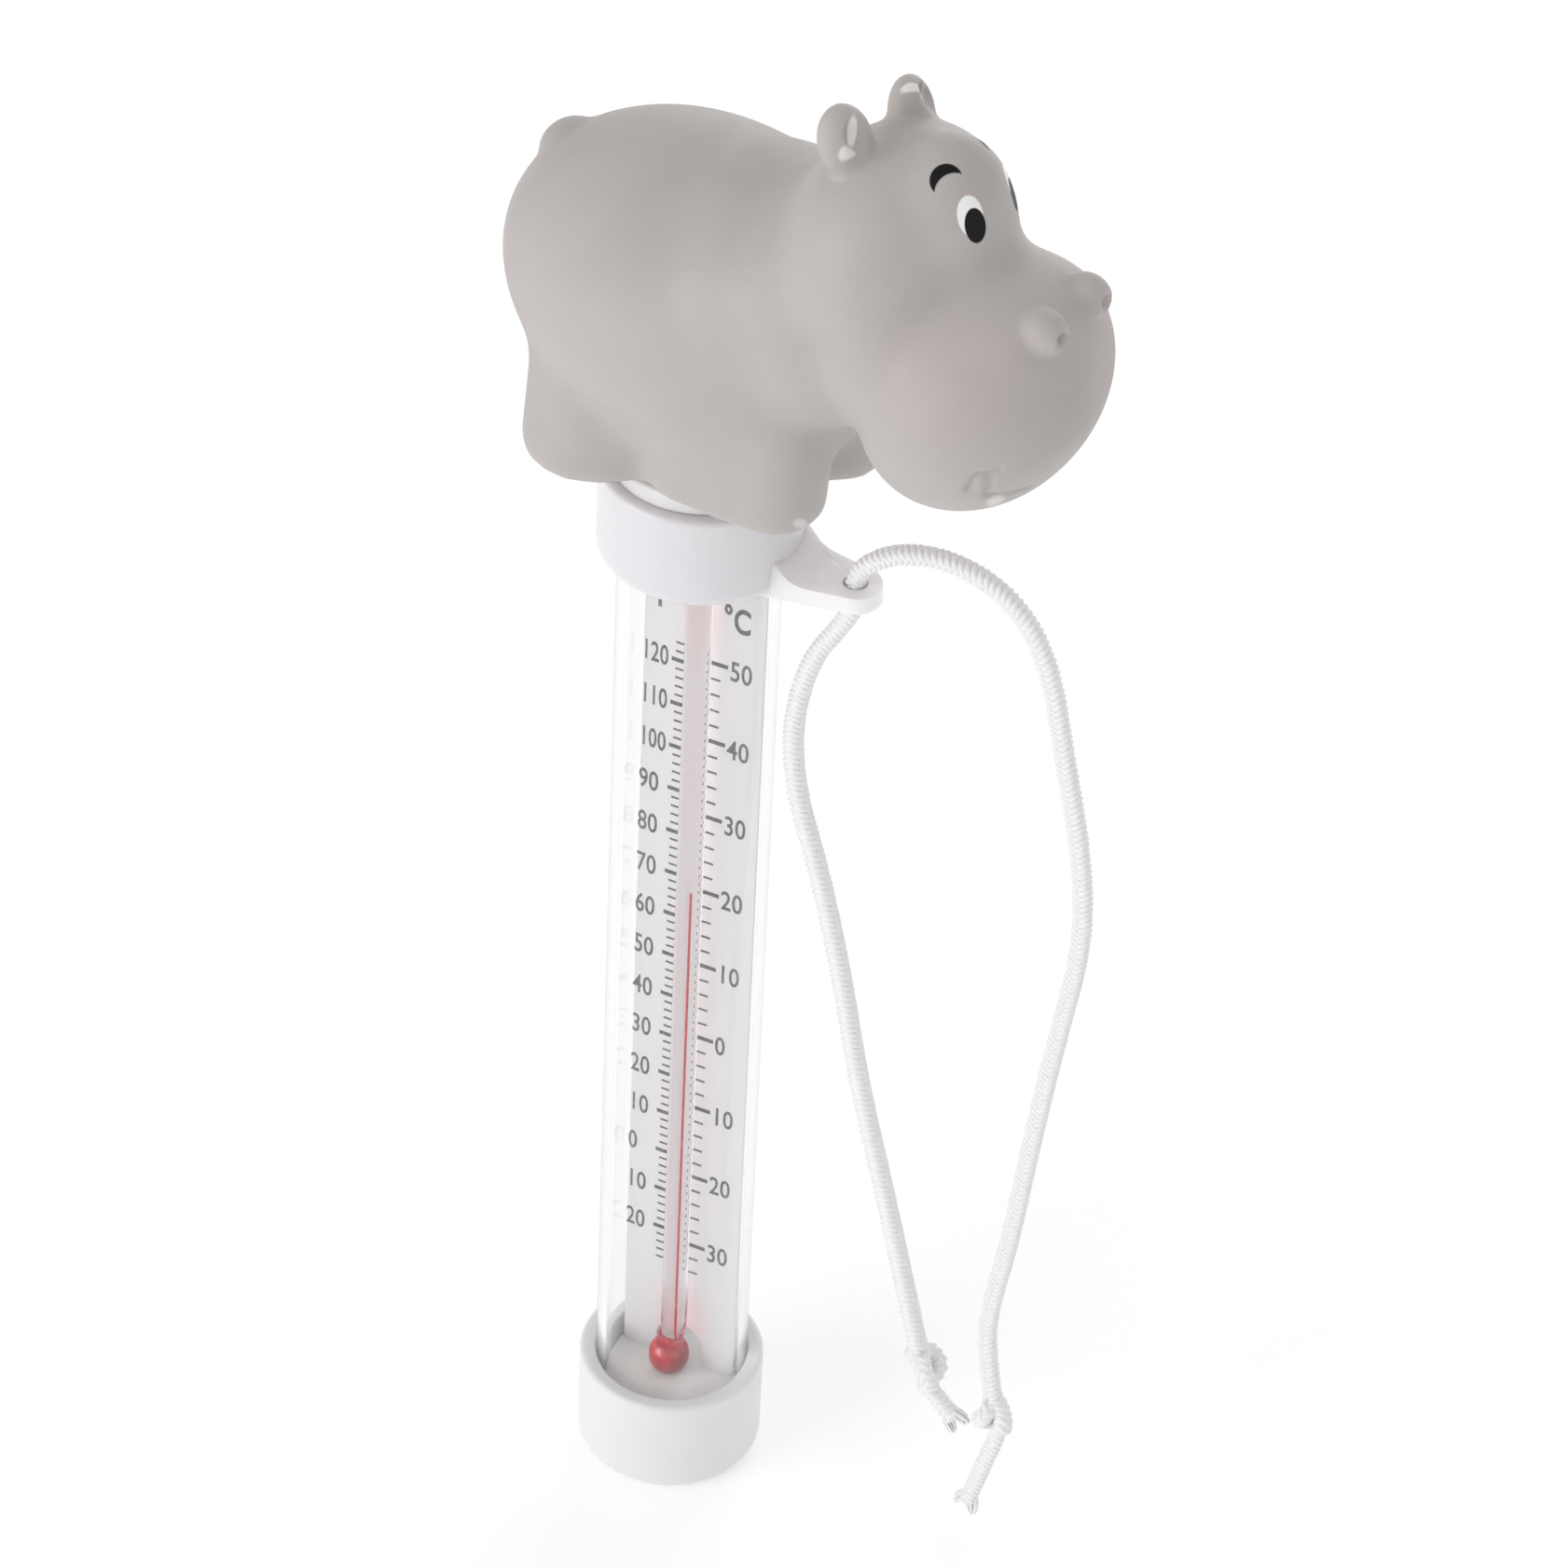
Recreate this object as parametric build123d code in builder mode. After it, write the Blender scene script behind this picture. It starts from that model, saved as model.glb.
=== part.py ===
from build123d import *

import os
from math import cos, radians, sin, tan

# Floating pool thermometer: a clear tube with a printed scale and a spirit stem inside, a weighted
# bottom cap, a tether collar with a lug and a braided cord, and a hollow vinyl hippo on top that
# turns on the collar. All sizes in millimetres. +Z runs up the tube, the origin is the centre of the
# bottom cap's underside, and +X is the way the hippo faces.

# ---- driving dimensions: tube and bottom cap ----
TUBE_OUTER_R = 10.0
TUBE_WALL = 1.2
TUBE_BOTTOM_Z = 4.0
TUBE_TOP_Z = 156.5
CAP_OUTER_R = 12.15
CAP_HEIGHT = 15.3
CAP_FLOOR = 3.0
CAP_BASE_FILLET = 1.8
CAP_RIM_FILLET = 0.6
SOCKET_GAP = 0.02
BALLAST_R = 8.7
BALLAST_TOP_Z = 9.0
BALLAST_CHAMFER = 0.4
GASKET_INNER_R = 8.85

# ---- driving dimensions: scale plate ----
SCALE_YAW = 9.5
PLATE_FRONT_Y = 1.5
PLATE_THICK = 1.0
PLATE_WIDTH = 16.2
PLATE_BOTTOM_Z = 12.0
PLATE_TOP_Z = 152.4
PLATE_CORNER_R = 1.2
NOTCH_WIDTH = 6.6
NOTCH_TOP_Z = 18.6
CUSHION_R = 8.7

# ---- driving dimensions: glass stem and spirit ----
STEM_X = 0.3
STEM_Y = -0.25
STEM_R = 1.7
STEM_TOP_Z = 148.5
STEM_TOP_FILLET = 1.36
BULB_X = -0.25
BULB_R = 2.75
BULB_Z = 14.3
BULB_WALL = 0.35
BORE_R = 0.36
BORE_TOP_Z = 136.5
CHAMBER_R = 0.75
CHAMBER_TOP_Z = 140.0
SPIRIT_R = 0.3
FILL_GAP = 0.03
COLUMN_BOTTOM_Z = 18.0
DEGREE_PITCH = 1.2125
ZERO_DEGREE_Z = 70.5
REST_READING = 21.3
MENISCUS_LENGTH = 2.0

# ---- driving dimensions: tether collar and its lug ----
COLLAR_R = 12.55
COLLAR_BOTTOM_Z = 150.0
COLLAR_TOP_Z = 163.2
COLLAR_BASE_FILLET = 1.8
COLLAR_TOP_FILLET = 0.8
SOCKET_TOP_Z = 157.5
CLIP_SPACE_R = 8.0
CLIP_SPACE_TOP_Z = 160.2
LUG_YAW = 9.0
LUG_THICK = 2.2
LUG_TIP_R = 3.4
LUG_ROOT_HALF_WIDTH = 4.9
LUG_HOLE_RADIUS_OUT = 20.3
LUG_HOLE_R = 1.75
BUNG_PLUG_R = 8.76
BUNG_BOTTOM_Z = 152.5
BUNG_RIM_WIDTH = 1.0

# ---- driving dimensions: turning plug under the hippo ----
TURN_CLEARANCE = 0.04
PIVOT_R = 4.0
PIVOT_BOTTOM_Z = 158.2
PIVOT_CHAMFER = 0.3
PLUG_LIFT = 0.05
FLANGE_R = 11.2
FLANGE_TOP_Z = 165.6
FLANGE_FILLET = 0.6
PLUG_BOSS_R = 7.45
PLUG_HEAD_R = 8.3
PLUG_HEAD_Z = 169.4
PLUG_TOP_Z = 171.2
PLUG_HEAD_CHAMFER = 0.7
CLIP_R = 6.2
CLIP_THICK = 0.8
CLIP_GROOVE_DEPTH = 0.8
CLIP_GROOVE_REACH = 1.0
CLIP_Z = 158.9
CLIP_MOUTH = 4.6

# ---- driving dimensions: hippo ----
VINYL = 2.0
BODY_AT = (-0.8, 0.0, 189.2)
BODY_HALF_LENGTH = 25.6
BODY_R = 18.8
BODY_ALONG = (1.0, 0.0, -0.09)
NECK_AT = (15.2, 0.0, 195.4)
NECK_R = 15.2
HEAD_AT = (27.4, 0.0, 206.4)
HEAD_R = 14.0
MUZZLE_AT = (38.1, 0.0, 192.2)
MUZZLE_HALF_WIDTH = 16.0
MUZZLE_R = 14.2
MUZZLE_ALONG = (0.0, 1.0, 0.0)
SEAM_NORMAL = (0.09, 0.0, 1.0)
BALL_SEAM = 37.0
FOOT_Z = 167.2
FOOT_FILLET = 1.3
FRONT_FOOT_AT = (9.45, 6.8)
FRONT_FOOT_LENGTH = 21.9
FRONT_FOOT_WIDTH = 12.4
REAR_FOOT_AT = (-10.6, 9.2)
REAR_FOOT_R = 7.9
LEG_TOP_Z = 186.0
SKIRT_R = 9.6
EAR_AT = (21.0, 5.9, 221.4)
EAR_R = 3.6
EAR_STALK = 6.0
EAR_CUP_R = 2.4
EAR_CUP_SHIFT = 2.9
TAIL_AT = (-20.2, 0.0, 199.0)
TAIL_R = 3.8
NOSTRIL_AT = (47.0, 5.2, 203.2)
NOSTRIL_R = 2.6

# ---- driving dimensions: tether cord ----
CORD_R = 1.4
CORD_BEND_SHARE = 0.45
# Each route is a hand-set list of (distance out from the tube's axis, height) in the cord's plane.
CORD_PLANE_YAW = 9.0
LOWER_ROUTE = [
    (20.3, 151.1),
    (20.3, 148.2),
    (18.4, 144.4),
    (15.0, 138.4),
    (13.0, 128.0),
    (13.9, 117.5),
    (17.6, 106.0),
    (21.4, 90.5),
    (24.6, 73.5),
    (29.3, 55.5),
    (33.2, 39.5),
    (35.2, 31.2),
]
UPPER_ROUTE = [
    (20.3, 151.1),
    (20.3, 153.5),
    (22.3, 156.1),
    (26.0, 158.7),
    (31.5, 159.9),
    (37.5, 158.7),
    (42.6, 154.7),
    (46.0, 147.8),
    (48.4, 136.5),
    (51.6, 122.5),
    (52.9, 109.0),
    (50.6, 92.5),
    (48.3, 73.0),
    (46.6, 55.5),
    (44.3, 41.0),
    (45.0, 33.0),
    (46.0, 27.6),
]
KNOT_R = 2.5
KNOT_LENGTH = 6.2
LOWER_TAIL_END = (40.9, 21.3)
UPPER_TAIL_END = (43.6, 7.0)
TAIL_R_SHARE = 0.97

REST_Z = ZERO_DEGREE_Z + DEGREE_PITCH * REST_READING
SCALE_PLANE = Plane(
    origin=(0, 0, 0),
    x_dir=(cos(radians(SCALE_YAW)), sin(radians(SCALE_YAW)), 0),
    z_dir=(0, 0, 1),
)
LUG_PLANE = Plane(
    origin=(0, 0, COLLAR_BOTTOM_Z),
    x_dir=(cos(radians(LUG_YAW)), sin(radians(LUG_YAW)), 0),
    z_dir=(0, 0, 1),
)
STEM_AXIS = SCALE_PLANE.from_local_coords(Vector(STEM_X, STEM_Y, 0))
BULB_AXIS = SCALE_PLANE.from_local_coords(Vector(BULB_X, STEM_Y, 0))


def ring_solid(outer_r, inner_r, bottom_z, top_z):
    """Add a plain ring about the tube's axis."""
    with BuildSketch(Plane.XY.offset(bottom_z)) as outline:
        Circle(outer_r)
        Circle(inner_r, mode=Mode.SUBTRACT)
    extrude(outline.sketch, amount=top_z - bottom_z)


def disc_solid(radius, bottom_z, top_z, mode=Mode.ADD):
    """Add or cut a round disc about the tube's axis."""
    with BuildSketch(Plane.XY.offset(bottom_z)) as outline:
        Circle(radius)
    extrude(outline.sketch, amount=top_z - bottom_z, mode=mode)


def capsule(centre, half_length, radius, along, mode=Mode.ADD):
    """Add or cut a round-ended rod about the direction given, turned from a half outline."""
    straight = half_length - radius
    with BuildSketch(Plane(origin=centre, x_dir=along, z_dir=SEAM_NORMAL)) as outline:
        with BuildLine():
            Line((-half_length, 0), (half_length, 0))
            CenterArc((straight, 0), radius, 0, 90)
            Line((straight, radius), (-straight, radius))
            CenterArc((-straight, 0), radius, 90, 90)
        make_face()
    revolve(outline.sketch, axis=Axis(centre, along), mode=mode)


def ball(centre, radius, mode=Mode.ADD):
    """Add or cut a ball."""
    with Locations(centre):
        Sphere(radius, rotation=(0, 0, BALL_SEAM), mode=mode)


def cord_point(out, height):
    """Turn a route point in the cord's plane into a point in the part's frame."""
    yaw = radians(CORD_PLANE_YAW)
    return Vector(out * cos(yaw), out * sin(yaw), height)


def bend_radii(points):
    """Radius of each corner: a share of the shorter run beside it over the tangent of half the turn."""
    radii = []
    for before, here, after in zip(points, points[1:], points[2:]):
        run_in = here - before
        run_out = after - here
        half_turn = radians(run_in.get_angle(run_out) / 2)
        shorter = min(run_in.length, run_out.length)
        radii.append(CORD_BEND_SHARE * shorter / tan(half_turn))
    return radii


# ---- bottom cap: a cup that closes and weights the tube ----
with BuildPart() as bottom_cap:
    disc_solid(CAP_OUTER_R, 0, CAP_HEIGHT)
    disc_solid(TUBE_OUTER_R + SOCKET_GAP, CAP_FLOOR, CAP_HEIGHT, mode=Mode.SUBTRACT)
    cap_rings = bottom_cap.edges().filter_by(GeomType.CIRCLE)
    fillet(cap_rings.group_by(Axis.Z)[0], CAP_BASE_FILLET)
    cap_rings = bottom_cap.edges().filter_by(GeomType.CIRCLE)
    fillet(cap_rings.group_by(Axis.Z)[-1], CAP_RIM_FILLET)

# ---- gasket between the tube's lower end and the cap's floor ----
with BuildPart() as bottom_gasket:
    ring_solid(TUBE_OUTER_R - SOCKET_GAP, GASKET_INNER_R, CAP_FLOOR, TUBE_BOTTOM_Z)

# ---- ballast slug inside the foot of the tube ----
with BuildPart() as ballast_slug:
    disc_solid(BALLAST_R, CAP_FLOOR, BALLAST_TOP_Z)
    chamfer(ballast_slug.edges().filter_by(GeomType.CIRCLE), BALLAST_CHAMFER)

# ---- cushion that seats the bulb and the plate ----
with BuildPart() as bulb_cushion:
    disc_solid(CUSHION_R, BALLAST_TOP_Z, PLATE_BOTTOM_Z)
    with Locations((BULB_AXIS.X, BULB_AXIS.Y, BULB_Z)):
        Sphere(BULB_R + FILL_GAP, mode=Mode.SUBTRACT)

# ---- clear tube ----
with BuildPart() as clear_tube:
    ring_solid(TUBE_OUTER_R, TUBE_OUTER_R - TUBE_WALL, TUBE_BOTTOM_Z, TUBE_TOP_Z)

# ---- printed scale plate, notched at the foot for the bulb ----
with BuildPart() as scale_plate:
    with BuildSketch(Plane(SCALE_PLANE.from_local_coords(Vector(0, PLATE_FRONT_Y + PLATE_THICK, 0)),
                           x_dir=SCALE_PLANE.x_dir, z_dir=-SCALE_PLANE.y_dir)):
        with Locations((0, (PLATE_BOTTOM_Z + PLATE_TOP_Z) / 2)):
            RectangleRounded(PLATE_WIDTH, PLATE_TOP_Z - PLATE_BOTTOM_Z, PLATE_CORNER_R)
        with Locations((STEM_X, NOTCH_TOP_Z - NOTCH_WIDTH / 2)):
            Circle(NOTCH_WIDTH / 2, mode=Mode.SUBTRACT)
        with Locations((STEM_X, (NOTCH_TOP_Z - NOTCH_WIDTH / 2) / 2)):
            Rectangle(NOTCH_WIDTH, NOTCH_TOP_Z - NOTCH_WIDTH / 2, mode=Mode.SUBTRACT)
    extrude(amount=PLATE_THICK)

# ---- glass stem: bulb, solid rod, fine bore and a small chamber at the top ----
with BuildPart() as glass_stem:
    with Locations((BULB_AXIS.X, BULB_AXIS.Y, BULB_Z)):
        Sphere(BULB_R)
    with BuildSketch(Plane.XY.offset(BULB_Z)):
        with Locations((STEM_AXIS.X, STEM_AXIS.Y)):
            Circle(STEM_R)
    extrude(amount=STEM_TOP_Z - BULB_Z)
    fillet(glass_stem.edges().filter_by(GeomType.CIRCLE).group_by(Axis.Z)[-1], STEM_TOP_FILLET)
    with Locations((BULB_AXIS.X, BULB_AXIS.Y, BULB_Z)):
        Sphere(BULB_R - BULB_WALL, mode=Mode.SUBTRACT)
    with Locations((STEM_AXIS.X, STEM_AXIS.Y, BULB_Z)):
        Cylinder(BORE_R, BORE_TOP_Z - BULB_Z,
                 align=(Align.CENTER, Align.CENTER, Align.MIN), mode=Mode.SUBTRACT)
    with Locations((STEM_AXIS.X, STEM_AXIS.Y, BORE_TOP_Z)):
        Cylinder(CHAMBER_R, CHAMBER_TOP_Z - BORE_TOP_Z,
                 align=(Align.CENTER, Align.CENTER, Align.MIN), mode=Mode.SUBTRACT)

# ---- red spirit: the bulb's fill, the column in the bore and its moving top ----
with BuildPart() as bulb_spirit:
    with Locations((BULB_AXIS.X, BULB_AXIS.Y, BULB_Z)):
        Sphere(BULB_R - BULB_WALL - FILL_GAP)
    with Locations((STEM_AXIS.X, STEM_AXIS.Y, BULB_Z)):
        Cylinder(SPIRIT_R, COLUMN_BOTTOM_Z - BULB_Z, align=(Align.CENTER, Align.CENTER, Align.MIN))

with BuildPart() as spirit_column:
    with Locations((STEM_AXIS.X, STEM_AXIS.Y, COLUMN_BOTTOM_Z)):
        Cylinder(SPIRIT_R, REST_Z - MENISCUS_LENGTH - COLUMN_BOTTOM_Z,
                 align=(Align.CENTER, Align.CENTER, Align.MIN))

with BuildPart() as spirit_meniscus:
    with Locations((STEM_AXIS.X, STEM_AXIS.Y, REST_Z - MENISCUS_LENGTH)):
        Cylinder(SPIRIT_R, MENISCUS_LENGTH, align=(Align.CENTER, Align.CENTER, Align.MIN))

# ---- rubber bung that seals the tube's top and seats the collar ----
with BuildPart() as top_bung:
    disc_solid(BUNG_PLUG_R, BUNG_BOTTOM_Z, TUBE_TOP_Z)
    ring_solid(TUBE_OUTER_R - SOCKET_GAP, BUNG_PLUG_R - BUNG_RIM_WIDTH, TUBE_TOP_Z, SOCKET_TOP_Z)

# ---- tether collar: socket for the tube, pivot hole for the plug, flat lug at the side ----
with BuildPart() as tether_collar:
    disc_solid(COLLAR_R, COLLAR_BOTTOM_Z, COLLAR_TOP_Z)
    collar_rings = tether_collar.edges().filter_by(GeomType.CIRCLE)
    fillet(collar_rings.group_by(Axis.Z)[-1], COLLAR_TOP_FILLET)
    collar_rings = tether_collar.edges().filter_by(GeomType.CIRCLE)
    fillet(collar_rings.group_by(Axis.Z)[0], COLLAR_BASE_FILLET)
    with BuildSketch(LUG_PLANE):
        with BuildLine():
            Line((COLLAR_R / 2, -LUG_ROOT_HALF_WIDTH), (LUG_HOLE_RADIUS_OUT, -LUG_TIP_R))
            ThreePointArc((LUG_HOLE_RADIUS_OUT, -LUG_TIP_R),
                          (LUG_HOLE_RADIUS_OUT + LUG_TIP_R, 0),
                          (LUG_HOLE_RADIUS_OUT, LUG_TIP_R))
            Line((LUG_HOLE_RADIUS_OUT, LUG_TIP_R), (COLLAR_R / 2, LUG_ROOT_HALF_WIDTH))
            Line((COLLAR_R / 2, LUG_ROOT_HALF_WIDTH), (COLLAR_R / 2, -LUG_ROOT_HALF_WIDTH))
        make_face()
    extrude(amount=LUG_THICK)
    with BuildSketch(LUG_PLANE):
        with Locations((LUG_HOLE_RADIUS_OUT, 0)):
            Circle(LUG_HOLE_R)
    extrude(amount=LUG_THICK, mode=Mode.SUBTRACT)
    disc_solid(TUBE_OUTER_R + SOCKET_GAP, COLLAR_BOTTOM_Z, SOCKET_TOP_Z, mode=Mode.SUBTRACT)
    disc_solid(CLIP_SPACE_R, SOCKET_TOP_Z, CLIP_SPACE_TOP_Z, mode=Mode.SUBTRACT)
    disc_solid(PIVOT_R + TURN_CLEARANCE, CLIP_SPACE_TOP_Z, COLLAR_TOP_Z, mode=Mode.SUBTRACT)

# ---- turning plug: pivot below, flange on the collar, snap head inside the hippo ----
with BuildPart() as turning_plug:
    disc_solid(PIVOT_R, PIVOT_BOTTOM_Z, COLLAR_TOP_Z + PLUG_LIFT)
    chamfer(turning_plug.edges().filter_by(GeomType.CIRCLE).group_by(Axis.Z)[0], PIVOT_CHAMFER)
    disc_solid(FLANGE_R, COLLAR_TOP_Z + PLUG_LIFT, FLANGE_TOP_Z)
    flange_rings = turning_plug.edges().filter_by(GeomType.CIRCLE)
    fillet(flange_rings.group_by(Axis.Z)[-1], FLANGE_FILLET)
    disc_solid(PLUG_BOSS_R, FLANGE_TOP_Z, PLUG_HEAD_Z)
    disc_solid(PLUG_HEAD_R, PLUG_HEAD_Z, PLUG_TOP_Z)
    plug_rings = turning_plug.edges().filter_by(GeomType.CIRCLE)
    chamfer(plug_rings.group_by(Axis.Z)[-1], PLUG_HEAD_CHAMFER)
    with BuildSketch(Plane.XY.offset(CLIP_Z)):
        Circle(PIVOT_R + CLIP_GROOVE_REACH)
        Circle(PIVOT_R - CLIP_GROOVE_DEPTH, mode=Mode.SUBTRACT)
    extrude(amount=CLIP_THICK, mode=Mode.SUBTRACT)

# ---- open clip that keeps the plug in the collar ----
with BuildPart() as plug_clip:
    with BuildSketch(Plane.XY.offset(CLIP_Z)):
        Circle(CLIP_R)
        Circle(PIVOT_R - CLIP_GROOVE_DEPTH, mode=Mode.SUBTRACT)
        with Locations((-CLIP_R, 0)):
            Rectangle(2 * CLIP_R, CLIP_MOUTH, mode=Mode.SUBTRACT)
    extrude(amount=CLIP_THICK)

# ---- hippo: one hollow vinyl moulding with an open belly ----
with BuildPart() as hippo_figure:
    with BuildSketch(Plane.XY.offset(FOOT_Z)) as soles:
        for side in (-1, 1):
            with Locations((FRONT_FOOT_AT[0], side * FRONT_FOOT_AT[1])):
                SlotOverall(FRONT_FOOT_LENGTH, FRONT_FOOT_WIDTH)
            with Locations((REAR_FOOT_AT[0], side * REAR_FOOT_AT[1])):
                Circle(REAR_FOOT_R)
    extrude(soles.sketch, amount=LEG_TOP_Z - FOOT_Z)
    fillet(hippo_figure.edges().group_by(Axis.Z)[0], FOOT_FILLET)
    capsule(BODY_AT, BODY_HALF_LENGTH, BODY_R, BODY_ALONG)
    ball(NECK_AT, NECK_R)
    capsule(MUZZLE_AT, MUZZLE_HALF_WIDTH, MUZZLE_R, MUZZLE_ALONG)
    ball(HEAD_AT, HEAD_R)
    ball(TAIL_AT, TAIL_R)
    for side in (-1, 1):
        with Locations((EAR_AT[0], side * EAR_AT[1], EAR_AT[2])):
            Cylinder(EAR_R, EAR_STALK, align=(Align.CENTER, Align.CENTER, Align.MAX))
        ball((EAR_AT[0], side * EAR_AT[1], EAR_AT[2]), EAR_R)
        ball((EAR_AT[0] + EAR_CUP_SHIFT, side * EAR_AT[1], EAR_AT[2]), EAR_CUP_R, mode=Mode.SUBTRACT)
        ball((NOSTRIL_AT[0], side * NOSTRIL_AT[1], NOSTRIL_AT[2]), NOSTRIL_R)
    disc_solid(SKIRT_R, FLANGE_TOP_Z, BODY_AT[2])
    capsule(BODY_AT, BODY_HALF_LENGTH - VINYL, BODY_R - VINYL, BODY_ALONG, mode=Mode.SUBTRACT)
    ball(NECK_AT, NECK_R - VINYL, mode=Mode.SUBTRACT)
    capsule(MUZZLE_AT, MUZZLE_HALF_WIDTH - VINYL, MUZZLE_R - VINYL, MUZZLE_ALONG, mode=Mode.SUBTRACT)
    ball(HEAD_AT, HEAD_R - VINYL, mode=Mode.SUBTRACT)
    disc_solid(PLUG_BOSS_R + SOCKET_GAP, FLANGE_TOP_Z, PLUG_HEAD_Z, mode=Mode.SUBTRACT)
    disc_solid(PLUG_HEAD_R + SOCKET_GAP, PLUG_HEAD_Z, BODY_AT[2] - BODY_R / 2, mode=Mode.SUBTRACT)


def cord_tube(route):
    """Sweep the cord's round section along its filleted route in the current part."""
    points = [cord_point(out, height) for out, height in route]
    radii = bend_radii(points)
    print("cord bend radii", [round(r, 1) for r in radii])
    with BuildLine():
        strand = FilletPolyline(*points, radius=radii)
    with BuildSketch(Plane(origin=points[0], z_dir=strand % 0)) as section:
        Circle(CORD_R)
    sweep(section.sketch, path=strand)
    print("cord length", round(strand.length, 1))


def knot_and_tail(route, tail_end):
    """Add a round overhand knot at the route's end and the short tail below it."""
    last = cord_point(*route[-1])
    before = cord_point(*route[-2])
    heading = (last - before).normalized()
    centre = last + heading * (KNOT_LENGTH / 2)
    end = cord_point(*tail_end)
    tail_way = (end - centre).normalized()
    with BuildSketch(Plane(origin=last, z_dir=heading)) as entry:
        Circle(CORD_R)
    extrude(entry.sketch, amount=KNOT_LENGTH / 2)
    with Locations(centre):
        Sphere(KNOT_R)
    with BuildSketch(Plane(origin=centre, z_dir=tail_way)) as tail:
        Circle(CORD_R * TAIL_R_SHARE)
    extrude(tail.sketch, amount=(end - centre).length)


# ---- tether cord: a lower and an upper strand that meet inside the lug's hole ----
with BuildPart() as tether_cord_lower:
    cord_tube(LOWER_ROUTE)

with BuildPart() as tether_cord_upper:
    cord_tube(UPPER_ROUTE)

with BuildPart() as cord_knot_lower:
    knot_and_tail(LOWER_ROUTE, LOWER_TAIL_END)

with BuildPart() as cord_knot_upper:
    knot_and_tail(UPPER_ROUTE, UPPER_TAIL_END)

PIECES = {
    "bottom_cap": bottom_cap,
    "bottom_gasket": bottom_gasket,
    "ballast_slug": ballast_slug,
    "bulb_cushion": bulb_cushion,
    "clear_tube": clear_tube,
    "scale_plate": scale_plate,
    "glass_stem": glass_stem,
    "bulb_spirit": bulb_spirit,
    "spirit_column": spirit_column,
    "spirit_meniscus": spirit_meniscus,
    "top_bung": top_bung,
    "tether_collar": tether_collar,
    "turning_plug": turning_plug,
    "plug_clip": plug_clip,
    "hippo_figure": hippo_figure,
    "tether_cord_lower": tether_cord_lower,
    "tether_cord_upper": tether_cord_upper,
    "cord_knot_lower": cord_knot_lower,
    "cord_knot_upper": cord_knot_upper,
}

os.makedirs("parts", exist_ok=True)
for label, piece in PIECES.items():
    piece.part.label = label
    print(label, round(piece.part.volume, 1), len(piece.part.solids()))
    export_step(piece.part, f"parts/{label}.step")
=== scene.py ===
"""Floating pool thermometer: clear tube, printed scale, red spirit, tether and vinyl hippo."""

import logging
import math
import random
from dataclasses import dataclass, field, replace
from enum import Enum
from typing import Iterable, Sequence

import bmesh
import bpy
from mathutils import Matrix, Vector
from mathutils.geometry import intersect_point_line


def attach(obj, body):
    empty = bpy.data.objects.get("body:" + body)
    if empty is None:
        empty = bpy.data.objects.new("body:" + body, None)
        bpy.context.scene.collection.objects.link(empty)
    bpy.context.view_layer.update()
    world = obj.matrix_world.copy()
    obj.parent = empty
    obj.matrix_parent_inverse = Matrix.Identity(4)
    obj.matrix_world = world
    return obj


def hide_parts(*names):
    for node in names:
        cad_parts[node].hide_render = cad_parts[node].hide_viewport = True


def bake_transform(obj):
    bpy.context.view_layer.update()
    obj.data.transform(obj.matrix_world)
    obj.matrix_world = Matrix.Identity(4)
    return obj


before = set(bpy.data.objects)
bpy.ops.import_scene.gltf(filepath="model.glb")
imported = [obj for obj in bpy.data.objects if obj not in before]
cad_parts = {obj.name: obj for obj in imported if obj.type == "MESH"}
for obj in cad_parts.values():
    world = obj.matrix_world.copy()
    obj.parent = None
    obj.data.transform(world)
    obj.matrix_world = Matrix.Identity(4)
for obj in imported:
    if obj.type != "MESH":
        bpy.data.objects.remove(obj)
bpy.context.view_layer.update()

MM = 0.001
LOG = logging.getLogger("thermometer")

Pair = tuple[float, float]
Point = tuple[float, float, float]
Colour = tuple[float, float, float, float]
Socket = bpy.types.NodeSocket


class Body(Enum):
    """The rigid bodies of the thermometer."""

    FLOAT = "float"
    FIGURE = "figure"
    MENISCUS = "meniscus"


class Slot(Enum):
    """The record's material slots."""

    CAP = "white_cap"
    COLLAR = "white_collar"
    PLUG = "frosted_plug"
    TUBE = "clear_plastic"
    PLATE = "scale_white"
    STEM = "stem_glass"
    SPIRIT = "red_spirit"
    STEEL = "steel"
    SPRING = "spring_steel"
    RUBBER = "clear_rubber"
    FOAM = "white_foam"
    VINYL = "grey_vinyl"
    BRAID = "white_braid"


class Side(Enum):
    """The two sides of the hippo."""

    RIGHT = -1
    LEFT = 1


# ---------------------------------------------------------------- bench tools


def mm(x: float, y: float, z: float) -> Vector:
    """Turn a point in millimetres into metres."""
    return Vector((x, y, z)) * MM


def turned(yaw: float) -> Matrix:
    """Give the turn about the tube's axis by yaw degrees."""
    return Matrix.Rotation(math.radians(yaw), 4, "Z")


def smooth_step(low: float, high: float, value: float) -> float:
    """Rise smoothly from 0 at low to 1 at high.

    Args:
        low: Value that gives 0.
        high: Value that gives 1.
        value: Value to place between them.

    Returns:
        The share from 0 to 1.
    """
    share = min(1.0, max(0.0, (value - low) / (high - low)))
    return share * share * (3.0 - 2.0 * share)


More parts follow.
